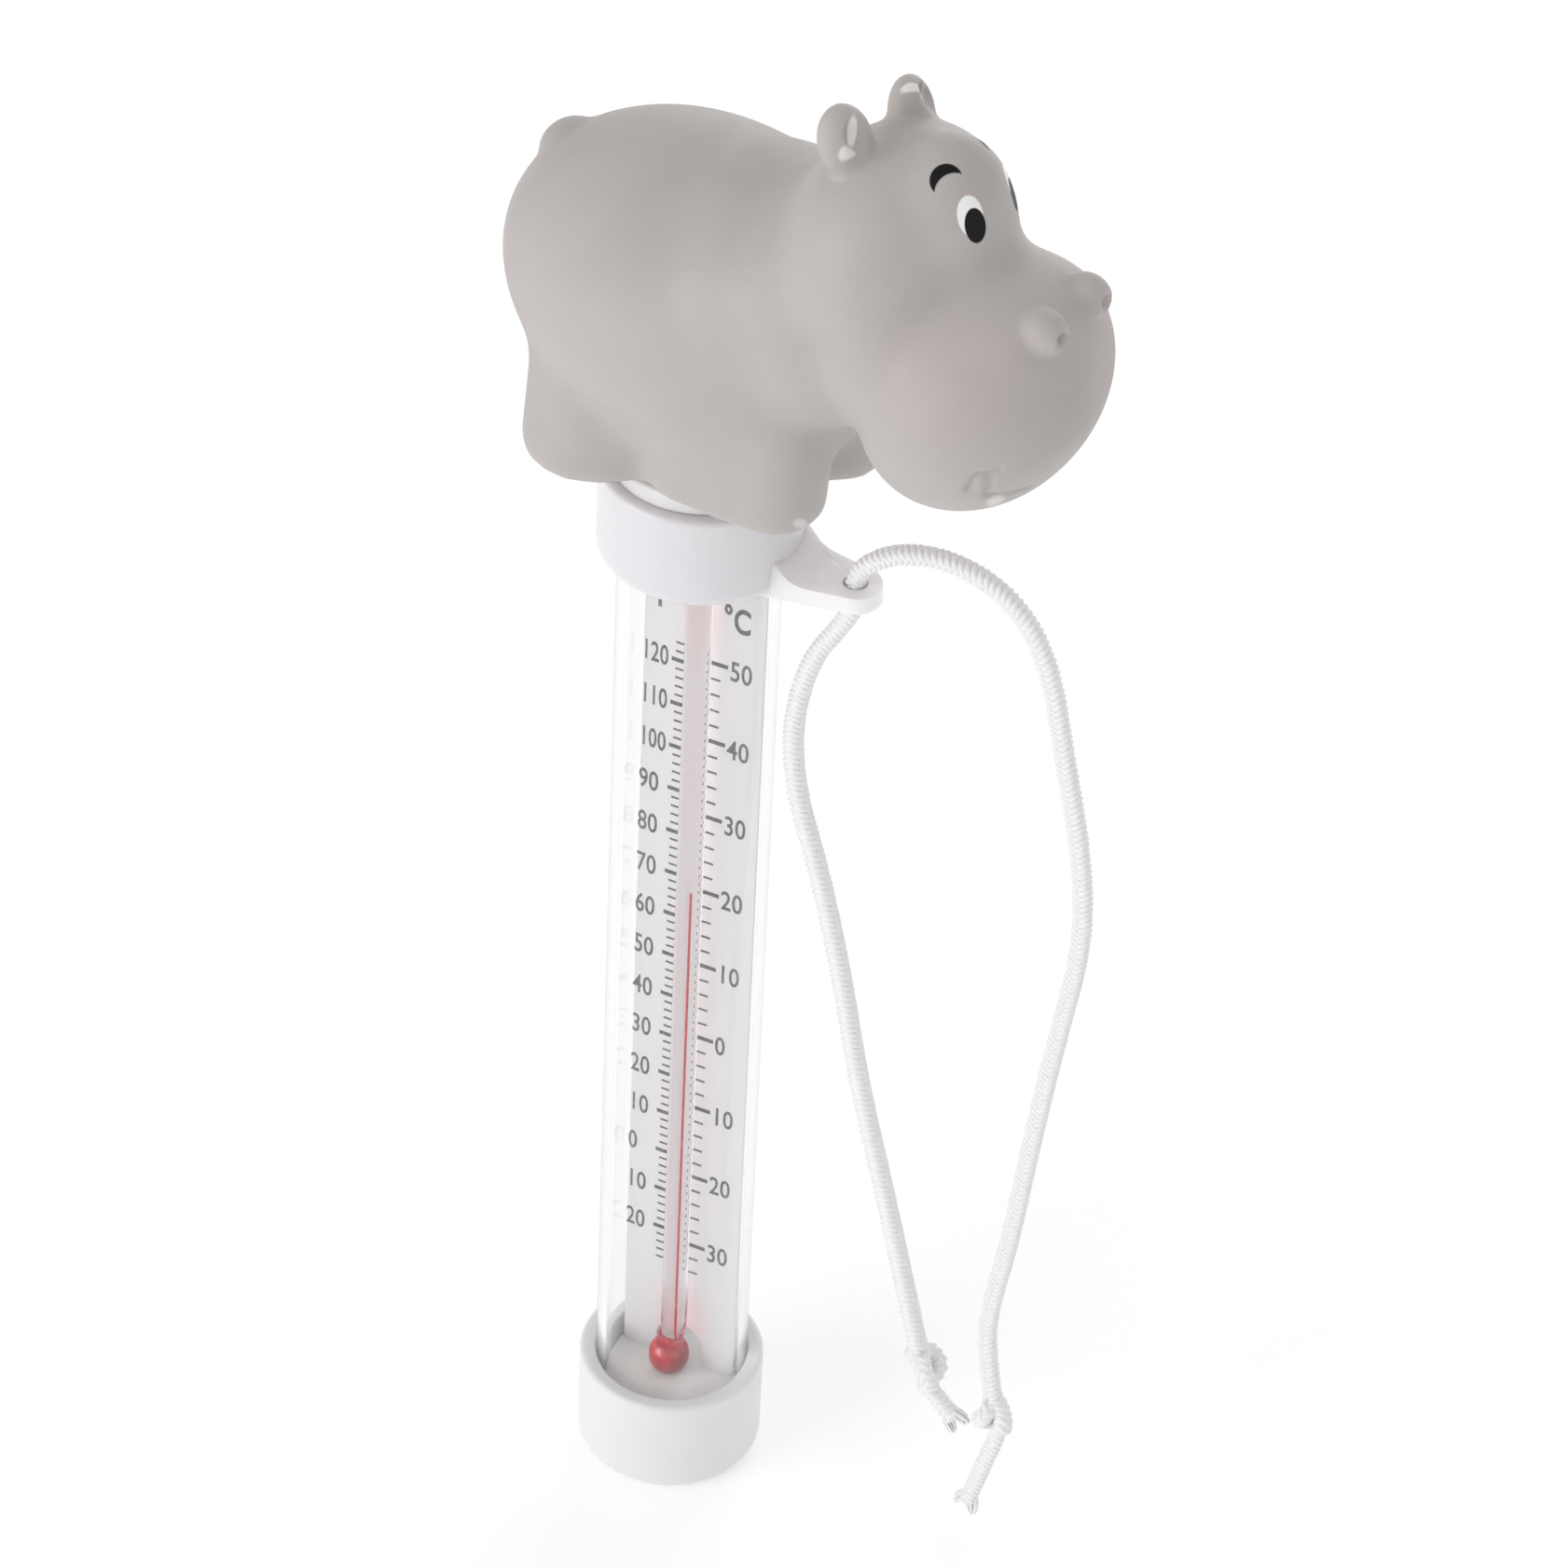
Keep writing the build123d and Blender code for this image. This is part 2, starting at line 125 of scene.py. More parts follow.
def view_axes(azimuth: float, elevation: float, roll: float) -> tuple[Vector, ...]:
    """Give the directions of something that looks at the thermometer from outside.

    Args:
        azimuth: Way round from the front, in degrees.
        elevation: Height angle, in degrees.
        roll: Tilt about the line of sight, in degrees.

    Returns:
        Across, up and towards the viewer, then the level direction before the tilt.
    """
    a, e, r = (math.radians(v) for v in (azimuth, elevation, roll))
    back = Vector((math.sin(a) * math.cos(e), -math.cos(a) * math.cos(e), math.sin(e)))
    level = Vector((math.cos(a), math.sin(a), 0.0))
    rise = back.cross(level)
    across = level * math.cos(r) + rise * math.sin(r)
    up = rise * math.cos(r) - level * math.sin(r)
    return across, up, back, level


def placed(name: str, data: bpy.types.ID) -> bpy.types.Object:
    """Put mesh, curve, lamp or camera data in the scene as an object at the origin."""
    piece = bpy.data.objects.new(name, data)
    bpy.context.scene.collection.objects.link(piece)
    return piece


def evaluated_mesh(piece: bpy.types.Object) -> bpy.types.Mesh:
    """Copy an object's mesh with its modifiers or its curve's thickness applied."""
    view = bpy.context.evaluated_depsgraph_get()
    view.update()
    return bpy.data.meshes.new_from_object(piece.evaluated_get(view))


def thick_curve(name: str, radius: float, smoothness: int) -> bpy.types.Curve:
    """Start a curve that is drawn as a closed rod.

    Args:
        name: Name of the curve.
        radius: Radius of the rod in metres.
        smoothness: Bevel resolution of the rod.

    Returns:
        The curve, with no line in it yet.
    """
    data = bpy.data.curves.new(name, "CURVE")
    data.dimensions = "3D"
    data.bevel_depth = radius
    data.bevel_resolution = smoothness
    data.use_fill_caps = True
    return data


def add_line(data: bpy.types.Curve, kind: str, points: Sequence[Vector]) -> bpy.types.Spline:
    """Add one spline to a curve.

    Args:
        data: The curve.
        kind: Blender's spline type.
        points: Its points in metres.

    Returns:
        The new spline.
    """
    spline = data.splines.new(kind)
    spline.points.add(len(points) - 1)
    for spot, place in zip(spline.points, points):
        spot.co = (*place, 1.0)
    return spline


def curve_mesh(data: bpy.types.Curve) -> bpy.types.Mesh:
    """Turn a curve or lettering into a mesh, and free the curve.

    Args:
        data: The curve.

    Returns:
        Its mesh.
    """
    holder = placed(data.name, data)
    mesh = evaluated_mesh(holder)
    bpy.data.objects.remove(holder)
    bpy.data.curves.remove(data)
    return mesh


def absorb(work: bmesh.types.BMesh, mesh: bpy.types.Mesh) -> None:
    """Add a mesh to a bmesh and free the mesh."""
    work.from_mesh(mesh)
    bpy.data.meshes.remove(mesh)


def finished_mesh(name: str, work: bmesh.types.BMesh, sharp: float = 40.0) -> bpy.types.Object:
    """Weld a bmesh, turn its faces outwards and make it a smooth-shaded piece.

    Args:
        name: Name of the piece.
        work: The bmesh, in metres in the row frame. It is freed here.
        sharp: Edges that turn more than this many degrees stay crisp.

    Returns:
        The new object, at the origin.
    """
    bmesh.ops.remove_doubles(work, verts=work.verts, dist=1e-7)
    bmesh.ops.recalc_face_normals(work, faces=work.faces)
    mesh = bpy.data.meshes.new(name)
    write_smooth(work, mesh)
    mesh.set_sharp_from_angle(angle=math.radians(sharp))
    return placed(name, mesh)


def write_smooth(work: bmesh.types.BMesh, mesh: bpy.types.Mesh) -> None:
    """Write a bmesh to a mesh with smooth faces, and free the bmesh.

    Args:
        work: The bmesh.
        mesh: The mesh that takes its shape.
    """
    for face in work.faces:
        face.smooth = True
    work.to_mesh(mesh)
    work.free()


def lathe(
    name: str,
    outline: Sequence[Pair],
    centre: Pair = (0.0, 0.0),
    steps: int = 144,
    sharp: float = 40.0,
) -> bpy.types.Object:
    """Spin an outline about an upright axis.

    Args:
        name: Name of the piece.
        outline: Radius and height pairs in millimetres, in order round the section.
        centre: Where the axis stands, in millimetres.
        steps: Divisions of the full turn.
        sharp: Edges that turn more than this many degrees stay crisp.

    Returns:
        The closed ring or solid of revolution.
    """
    work = bmesh.new()
    verts = [work.verts.new(mm(centre[0] + r, centre[1], z)) for r, z in outline]
    edges = [work.edges.new(pair) for pair in zip(verts, verts[1:])]
    if outline[0][0] > 1e-6 or outline[-1][0] > 1e-6:
        edges.append(work.edges.new((verts[-1], verts[0])))
    bmesh.ops.spin(
        work,
        geom=verts + edges,
        cent=mm(centre[0], centre[1], 0.0),
        axis=(0.0, 0.0, 1.0),
        angle=math.tau,
        steps=steps,
        use_merge=True,
        use_duplicate=False,
    )
    return finished_mesh(name, work, sharp)


def rounded(corners: Sequence[Point], segments: int = 6, hold: float = 0.08) -> list[Pair]:
    """Round the corners of a closed outline.

    Args:
        corners: Radius, height and corner radius of each corner, in millimetres.
        segments: Divisions of each rounded corner.
        hold: Distance of the ring that keeps the shading flat beside each rounded corner.

    Returns:
        The outline's points in order.
    """
    points: list[Pair] = []
    count = len(corners)
    for index, (x, y, bend) in enumerate(corners):
        if bend <= 0.0:
            points.append((x, y))
            continue
        here = Vector((x, y))
        before = (Vector(corners[index - 1][:2]) - here).normalized()
        after = (Vector(corners[(index + 1) % count][:2]) - here).normalized()
        half = before.angle(after) / 2.0
        reach = bend / math.tan(half)
        middle = here + (before + after).normalized() * (bend / math.sin(half))
        start = here + before * reach - middle
        end = here + after * reach - middle
        turn = -start.angle_signed(end) / segments
        arc = [middle + Matrix.Rotation(turn * step, 2) @ start for step in range(segments + 1)]
        for spot in (arc[0] + before * hold, *arc, arc[-1] + after * hold):
            points.append((max(0.0, spot.x), spot.y))
    return points


# ---------------------------------------------------------------- shader bench


@dataclass
class Bench:
    """A small helper that places and links shader nodes.

    Attributes:
        tree: The node tree being built.
    """

    tree: bpy.types.NodeTree

    def feed(self, target: bpy.types.Node, inputs: dict) -> None:
        """Link or set a node's inputs.

        Args:
            target: The node.
            inputs: A socket or a constant for each input's name or number.
        """
        for key, value in inputs.items():
            if isinstance(value, Socket):
                self.tree.links.new(value, target.inputs[key])
            else:
                target.inputs[key].default_value = value

    def node(self, kind: str, inputs: dict | None = None, **settings: object) -> bpy.types.Node:
        """Add one node.

        Args:
            kind: Blender's node type name.
            inputs: A socket or a constant for each input's name or number.
            **settings: The node's properties by name.

        Returns:
            The new node.
        """
        made = self.tree.nodes.new(kind)
        for key, value in settings.items():
            setattr(made, key, value)
        self.feed(made, inputs or {})
        return made

    def where(self) -> Socket:
        """Give the coordinates on the object itself."""
        return self.node("ShaderNodeTexCoord").outputs["Object"]

    def math(self, operation: str, left: object, right: object = 0.0) -> Socket:
        """Add a Math node that takes two sockets or numbers."""
        return self.node("ShaderNodeMath", {0: left, 1: right}, operation=operation).outputs[0]

    def mix(self, share: object, first: object, second: object) -> Socket:
        """Mix two colours or colour sockets by a share from 0 to 1."""
        inputs = {0: share, 6: first, 7: second}
        return self.node("ShaderNodeMix", inputs, data_type="RGBA").outputs[2]

    def remap(
        self, value: Socket, low: object, high: object, to_low: float = 0.0, to_high: float = 1.0
    ) -> Socket:
        """Map a value smoothly from one range to another.

        Args:
            value: The socket to read.
            low: Start of the range read.
            high: End of the range read.
            to_low: Result at low.
            to_high: Result at high.

        Returns:
            The result's socket.
        """
        inputs = {0: value, 1: low, 2: high, 3: to_low, 4: to_high}
        return self.node("ShaderNodeMapRange", inputs, interpolation_type="SMOOTHSTEP").outputs[0]

    def noise(
        self, where: Socket, scale: object, detail: float = 3.0, roughness: float = 0.5
    ) -> Socket:
        """Add a noise pattern.

        Args:
            where: Coordinates.
            scale: Cells per metre.
            detail: Number of octaves.
            roughness: Strength of the finer octaves.

        Returns:
            The noise value's socket.
        """
        inputs = {"Vector": where, "Scale": scale, "Detail": detail, "Roughness": roughness}
        return self.node("ShaderNodeTexNoise", inputs).outputs["Fac"]

    def bump(self, height: Socket, depth: object, strength: float = 1.0) -> Socket:
        """Turn a height pattern into a bumped normal, with its depth in metres."""
        inputs = {"Height": height, "Distance": depth, "Strength": strength}
        return self.node("ShaderNodeBump", inputs).outputs["Normal"]


class Effects:
    """Shader node groups that more than one finish uses."""

    _made: dict[str, bpy.types.NodeTree] = {}

    @classmethod
    def _group(
        cls, name: str, inputs: dict, outputs: dict[str, str]
    ) -> tuple[Bench, dict[str, Socket], bpy.types.Node]:
        """Start a node group with named sockets.

        Args:
            name: The group's name.
            inputs: Default of each input by name: a number or a vector.
            outputs: Socket type of each output by name.

        Returns:
            The bench, the group's input sockets by name, and its output node.
        """
        tree = bpy.data.node_groups.new(name, "ShaderNodeTree")
        for label, value in inputs.items():
            kind = "NodeSocketFloat" if isinstance(value, float) else "NodeSocketVector"
            socket = tree.interface.new_socket(name=label, in_out="INPUT", socket_type=kind)
            socket.default_value = value
        for label, kind in outputs.items():
            tree.interface.new_socket(name=label, in_out="OUTPUT", socket_type=kind)
        bench = Bench(tree)
        start = bench.node("NodeGroupInput")
        end = bench.node("NodeGroupOutput")
        cls._made[name] = tree
        return bench, {s.name: s for s in start.outputs if s.name}, end

    @classmethod
    def grain(cls) -> bpy.types.NodeTree:
        """Give the fine surface grain: a bumped normal, and a mask that varies the gloss.

        Returns:
            The group, with inputs Cell, Depth and Drift, and outputs Normal and Mask.
        """
        if "surface_grain" not in cls._made:
            bench, inputs, end = cls._group(
                "surface_grain",
                {"Cell": 4000.0, "Depth": 0.00002, "Drift": 90.0},
                {"Normal": "NodeSocketVector", "Mask": "NodeSocketFloat"},
            )
            where = bench.where()
            fine = bench.noise(where, inputs["Cell"], 4.0)
            normal = bench.bump(fine, inputs["Depth"])
            bench.feed(end, {"Normal": normal, "Mask": bench.noise(where, inputs["Drift"])})
        return cls._made["surface_grain"]

    @classmethod
    def spot(cls) -> bpy.types.NodeTree:
        """Give an oval region with a soft edge, placed and turned by its inputs.

        Returns:
            The group, with inputs Centre, Turn, Radii and Edge, and output Mask.
        """
        if "painted_spot" not in cls._made:
            bench, inputs, end = cls._group(
                "painted_spot",
                {
                    "Centre": (0.0, 0.0, 0.0),
                    "Turn": (0.0, 0.0, 0.0),
                    "Radii": (1.0, 1.0, 1.0),
                    "Edge": 0.06,
                },
                {"Mask": "NodeSocketFloat"},
            )
            place = {
                "Vector": bench.where(),
                "Location": inputs["Centre"],
                "Rotation": inputs["Turn"],
                "Scale": inputs["Radii"],
            }
            spread = bench.node("ShaderNodeMapping", place, vector_type="TEXTURE").outputs[0]
            reach = bench.node("ShaderNodeVectorMath", {0: spread}, operation="LENGTH")
            low = bench.math("SUBTRACT", 1.0, inputs["Edge"])
            high = bench.math("ADD", 1.0, inputs["Edge"])
            bench.feed(end, {"Mask": bench.remap(reach.outputs["Value"], low, high, 1.0, 0.0)})
        return cls._made["painted_spot"]


def new_material(name: str) -> tuple[bpy.types.Material, Bench, bpy.types.Node, bpy.types.Node]:
    """Start a material with a Principled shader.

    Args:
        name: The material's name.

    Returns:
        The material, its bench, the Principled node and the output node.
    """
    material = bpy.data.materials.new(name)
    material.use_nodes = True
    material.node_tree.nodes.clear()
    bench = Bench(material.node_tree)
    shader = bench.node("ShaderNodeBsdfPrincipled")
    output = bench.node("ShaderNodeOutputMaterial", {"Surface": shader.outputs[0]})
    return material, bench, shader, output


@dataclass(frozen=True)
class Stain:
    """A soft oval of painted glow: the red spirit's light painted on as a tint.

    Attributes:
        centre: Its middle, in millimetres.
        radii: Its half sizes, in millimetres.
        colour: The tint.
        strength: The tint's share at its middle.
    """

    centre: Point
    radii: Point
    colour: Colour
    strength: float

    def mask(self, bench: Bench) -> Socket:
        """Place the tint's node group and give its mask."""
        inputs = {"Centre": mm(*self.centre), "Radii": mm(*self.radii), "Edge": 0.95}
        made = bench.node("ShaderNodeGroup", node_tree=Effects.spot())
        bench.feed(made, inputs)
        return bench.math("MULTIPLY", made.outputs["Mask"], self.strength)


@dataclass(frozen=True)
class Moulded:
    """A moulded plastic, rubber or foam finish.

    Attributes:
        name: The material's name.
        colour: Base colour.
        shade: Colour that the base drifts towards in broad patches.
        rough: Lowest and highest roughness.
        cell: Grain cells per metre.
        depth: Grain depth in metres.
        scatter: Subsurface weight.
        coat: Clear coat weight.
        stains: Soft ovals of painted glow over the base colour.
    """

    name: str
    colour: Colour
    shade: Colour
    rough: Pair
    cell: float
    depth: float
    scatter: float = 0.0
    coat: float = 0.0
    stains: tuple[Stain, ...] = ()

    def build(self) -> bpy.types.Material:
        """Make the material."""
        material, bench, shader, _ = new_material(self.name)
        grain = bench.node("ShaderNodeGroup", node_tree=Effects.grain())
        bench.feed(grain, {"Cell": self.cell, "Depth": self.depth})
        mask = grain.outputs["Mask"]
        colour = bench.mix(mask, self.colour, self.shade)
        # Each oval here is painted glow: the red spirit's light painted into the colour as a pink
        # or red tint.
        for stain in self.stains:
            colour = bench.mix(stain.mask(bench), colour, stain.colour)
        inputs = {
            "Base Color": colour,
            "Roughness": bench.remap(mask, 0.3, 0.7, *self.rough),
            "Normal": grain.outputs["Normal"],
            "Coat Weight": self.coat,
            "Coat Roughness": 0.12,
        }
        if self.scatter:
            inputs["Subsurface Weight"] = self.scatter
            inputs["Subsurface Radius"] = (0.004, 0.0036, 0.0034)
            inputs["Subsurface Scale"] = 1.0
        bench.feed(shader, inputs)
        return material


@dataclass(frozen=True)
class Clear:
    """A clear finish for the tube and the glass stem.

    Attributes:
        name: The material's name.
        tint: Colour of what passes through.
        rough: Lowest and highest roughness.
        ior: Index of refraction.
        streak: Fine draw lines along the tube, as bump depth in metres.
    """

    name: str
    tint: Colour
    rough: Pair
    ior: float
    streak: float = 0.0

    def build(self) -> bpy.types.Material:
        """Make the material, clear to shadows so that light reaches what is inside."""
        material, bench, shader, output = new_material(self.name)
        drawn = {"Vector": bench.where(), "Scale": (1.0, 1.0, 0.02)}
        lines = bench.noise(bench.node("ShaderNodeMapping", drawn).outputs[0], 1400.0, 2.0)
        inputs = {
            "Base Color": bench.mix(lines, self.tint, (1.0, 1.0, 1.0, 1.0)),
            "Roughness": bench.remap(lines, 0.35, 0.7, *self.rough),
            "Transmission Weight": 1.0,
            "IOR": self.ior,
        }
        if self.streak:
            inputs["Normal"] = bench.bump(lines, self.streak)
        bench.feed(shader, inputs)
        clear = bench.node("ShaderNodeBsdfTransparent", {"Color": (0.97, 0.97, 0.97, 1.0)})
        shadow = bench.node("ShaderNodeLightPath").outputs["Is Shadow Ray"]
        blend = {0: shadow, 1: shader.outputs[0], 2: clear.outputs[0]}
        bench.feed(output, {"Surface": bench.node("ShaderNodeMixShader", blend).outputs[0]})
        return material


@dataclass(frozen=True)
class Spirit:
    """The dyed spirit.

    Attributes:
        name: The material's name.
        deep: Colour in the body of the liquid.
        bright: Colour where it catches the light.
    """

    name: str = "red_spirit"
    deep: Colour = (0.50, 0.002, 0.014, 1.0)
    bright: Colour = (0.70, 0.004, 0.022, 1.0)

    def build(self) -> bpy.types.Material:
        """Make the material."""
        material, bench, shader, _ = new_material(self.name)
        cloud = bench.noise(bench.where(), 500.0)
        inputs = {
            "Base Color": bench.mix(bench.remap(cloud, 0.35, 0.65), self.deep, self.bright),
            "Roughness": bench.remap(cloud, 0.3, 0.7, 0.12, 0.3),
            "Subsurface Weight": 0.25,
            "Subsurface Radius": (0.002, 0.0004, 0.0004),
            "Subsurface Scale": 1.0,
        }
        bench.feed(shader, inputs)
        return material


@dataclass(frozen=True)
class Ink:
    """Screen-printed ink on the scale plate.

    Attributes:
        name: The material's name.
        dark: Colour where the ink is full.
        thin: Colour where it is thin.
    """

    name: str = "print_ink"
    dark: Colour = (0.05, 0.05, 0.055, 1.0)
    thin: Colour = (0.16, 0.16, 0.17, 1.0)

    def build(self) -> bpy.types.Material:
        """Make the material."""
        material, bench, shader, _ = new_material(self.name)
        patch = bench.noise(bench.where(), 2600.0, 3.0, 0.6)
        inputs = {
            "Base Color": bench.mix(bench.remap(patch, 0.4, 0.7), self.dark, self.thin),
            "Roughness": bench.remap(patch, 0.3, 0.7, 0.45, 0.6),
        }
        bench.feed(shader, inputs)
        return material


@dataclass(frozen=True)
class Steel:
    """Plain steel for the hidden slug and clip.

    Attributes:
        name: The material's name.
        colour: Metal colour.
        stain: Colour of its dull patches.
    """

    name: str
    colour: Colour = (0.56, 0.56, 0.57, 1.0)
    stain: Colour = (0.36, 0.35, 0.34, 1.0)

    def build(self) -> bpy.types.Material:
        """Make the material."""
        material, bench, shader, _ = new_material(self.name)
        grain = bench.node("ShaderNodeGroup", node_tree=Effects.grain())
        bench.feed(grain, {"Cell": 9000.0, "Depth": 0.000006})
        mask = grain.outputs["Mask"]
        inputs = {
            "Base Color": bench.mix(mask, self.colour, self.stain),
            "Roughness": bench.remap(mask, 0.3, 0.7, 0.28, 0.48),
            "Normal": grain.outputs["Normal"],
            "Metallic": 1.0,
        }
        bench.feed(shader, inputs)
        return material


@dataclass(frozen=True)
class Yarn:
    """White braided yarn with fine filaments.

    Attributes:
        name: The material's name.
        lit: Colour of the tops of the strands.
        shade: Colour deep between the strands.
    """

    name: str = "white_braid"
    lit: Colour = (0.89, 0.88, 0.88, 1.0)
    shade: Colour = (0.86, 0.845, 0.845, 1.0)

    def build(self) -> bpy.types.Material:
        """Make the material."""
        material, bench, shader, _ = new_material(self.name)
        where = bench.where()
        fibre = bench.noise(where, 9000.0, 4.0, 0.7)
        patch = bench.noise(where, 900.0, 2.0)
        halves = (bench.math("MULTIPLY", pattern, 0.5) for pattern in (fibre, patch))
        tone = bench.math("ADD", *halves)
        inputs = {
            "Base Color": bench.mix(bench.remap(tone, 0.35, 0.65), self.shade, self.lit),
            "Roughness": bench.remap(fibre, 0.3, 0.7, 0.7, 0.95),
            "Normal": bench.bump(fibre, 0.00004, 0.7),
            "Sheen Weight": 0.35,
            "Sheen Roughness": 0.5,
        }
        bench.feed(shader, inputs)
        return material


@dataclass(frozen=True)
class PaintSpot:
    """One oval of paint, sprayed on the figure through a stencil.

    Attributes:
        centre: Where the middle of the oval meets the skin, in millimetres.
        size: Half width and half height of the stencil's oval.
        spin: Turn of the oval in the stencil, in degrees.
        edge: Softness of the rim as a share of the radius.
        depth: How far the spray reaches before and behind the centre.
        cut: Another oval that masks part of this one.
        side: Side of the figure that is sprayed.
        strength: Cover of the paint, from 0 to 1.
        gun: Azimuth, elevation and roll that the right side is sprayed from, in degrees.
    """

    centre: Point
    size: Pair
    spin: float = 0.0
    edge: float = 0.05
    depth: float = 4.0
    cut: "PaintSpot | None" = None
    side: Side = Side.RIGHT
    strength: float = 1.0
    gun: Point = (33.0, 40.33, 2.77)

    def mirrored(self) -> "PaintSpot":
        """Give the same spot on the other side."""
        x, y, z = self.centre
        cut = self.cut.mirrored() if self.cut else None
        return replace(self, centre=(x, -y, z), cut=cut, side=Side.LEFT)

    def turn(self) -> Matrix:
        """Give the stencil's turn: across, up, and towards the spray gun.

        Returns:
            The turn as a 3 by 3 matrix.
        """
        azimuth, elevation, roll = self.gun
        across, up, back, _ = view_axes(azimuth, elevation, roll + self.spin)
        if self.side is Side.LEFT:
            across, up, back = (Vector((v.x, -v.y, v.z)) for v in (-across, up, back))
        return Matrix((across, up, back)).transposed()

    def mask(self, bench: Bench) -> Socket:
        """Place the spot's node group.

        Args:
            bench: The material's bench.

        Returns:
            The mask's socket.
        """
        made = bench.node("ShaderNodeGroup", node_tree=Effects.spot())
        inputs = {
            "Centre": mm(*self.centre),
            "Turn": self.turn().to_euler(),
            "Radii": mm(*self.size, self.depth),
            "Edge": self.edge,
        }
        bench.feed(made, inputs)
        result = made.outputs["Mask"]
        if self.cut:
            kept = bench.math("SUBTRACT", 1.0, self.cut.mask(bench))
            result = bench.math("MULTIPLY", result, kept)
        if self.strength < 1.0:
            result = bench.math("MULTIPLY", result, self.strength)
        return result


@dataclass(frozen=True)
class Vinyl:
    """Soft matte vinyl with hand-sprayed paint details.

    Attributes:
        name: The material's name.
        base: The vinyl's main colour.
        warm: A warmer drift.
        deep: Fine darker specks.
        rosy: Faint pink of the cheeks.
        white: Paint for eyes, ear linings, tooth and nails.
        black: Paint for pupils and brows.
    """

    name: str = "grey_vinyl"
    base: Colour = (0.455, 0.428, 0.412, 1.0)
    warm: Colour = (0.415, 0.372, 0.355, 1.0)
    deep: Colour = (0.31, 0.27, 0.26, 1.0)
    rosy: Colour = (0.43, 0.355, 0.35, 1.0)
    white: Colour = (0.86, 0.86, 0.86, 1.0)
    black: Colour = (0.006, 0.006, 0.006, 1.0)

    def build(
        self,
        whites: Iterable[PaintSpot],
        blacks: Iterable[PaintSpot],
        blushes: Iterable[PaintSpot],
    ) -> bpy.types.Material:
        """Make the material.

        Args:
            whites: Spots of white paint.
            blacks: Spots of black paint, over the white.
            blushes: Soft pink sprays on the vinyl itself.

        Returns:
            The material.
        """
        material, bench, shader, _ = new_material(self.name)
        where = bench.where()
        broad = bench.noise(where, 45.0)
        speck = bench.noise(where, 1500.0, 3.0, 0.6)
        colour = bench.mix(bench.remap(broad, 0.38, 0.68, 0.0, 0.7), self.base, self.warm)
        colour = bench.mix(bench.remap(speck, 0.62, 0.78, 0.0, 0.10), colour, self.deep)
        for blush in blushes:
            colour = bench.mix(blush.mask(bench), colour, self.rosy)
        paint: object = 0.0
        for spots, shade in ((whites, self.white), (blacks, self.black)):
            for spot in spots:
                mask = spot.mask(bench)
                colour = bench.mix(mask, colour, shade)
                paint = bench.math("MAXIMUM", paint, mask)
        grain = bench.node("ShaderNodeGroup", node_tree=Effects.grain())
        bench.feed(grain, {"Cell": 3200.0, "Depth": 0.00002})
        matte = bench.remap(grain.outputs["Mask"], 0.3, 0.7, 0.52, 0.64)
        gloss = bench.node("ShaderNodeMix", {0: paint, 2: matte, 3: 0.42}, data_type="FLOAT")
        inputs = {
            "Base Color": colour,
            "Roughness": gloss.outputs[0],
            "Specular IOR Level": bench.remap(paint, 0.0, 1.0, 0.5, 0.14),
            "Normal": grain.outputs["Normal"],
            "Subsurface Weight": 0.12,
            "Subsurface Radius": (0.003, 0.0024, 0.0022),
            "Subsurface Scale": 1.0,
            "Sheen Weight": 0.04,
        }
        bench.feed(shader, inputs)
        return material


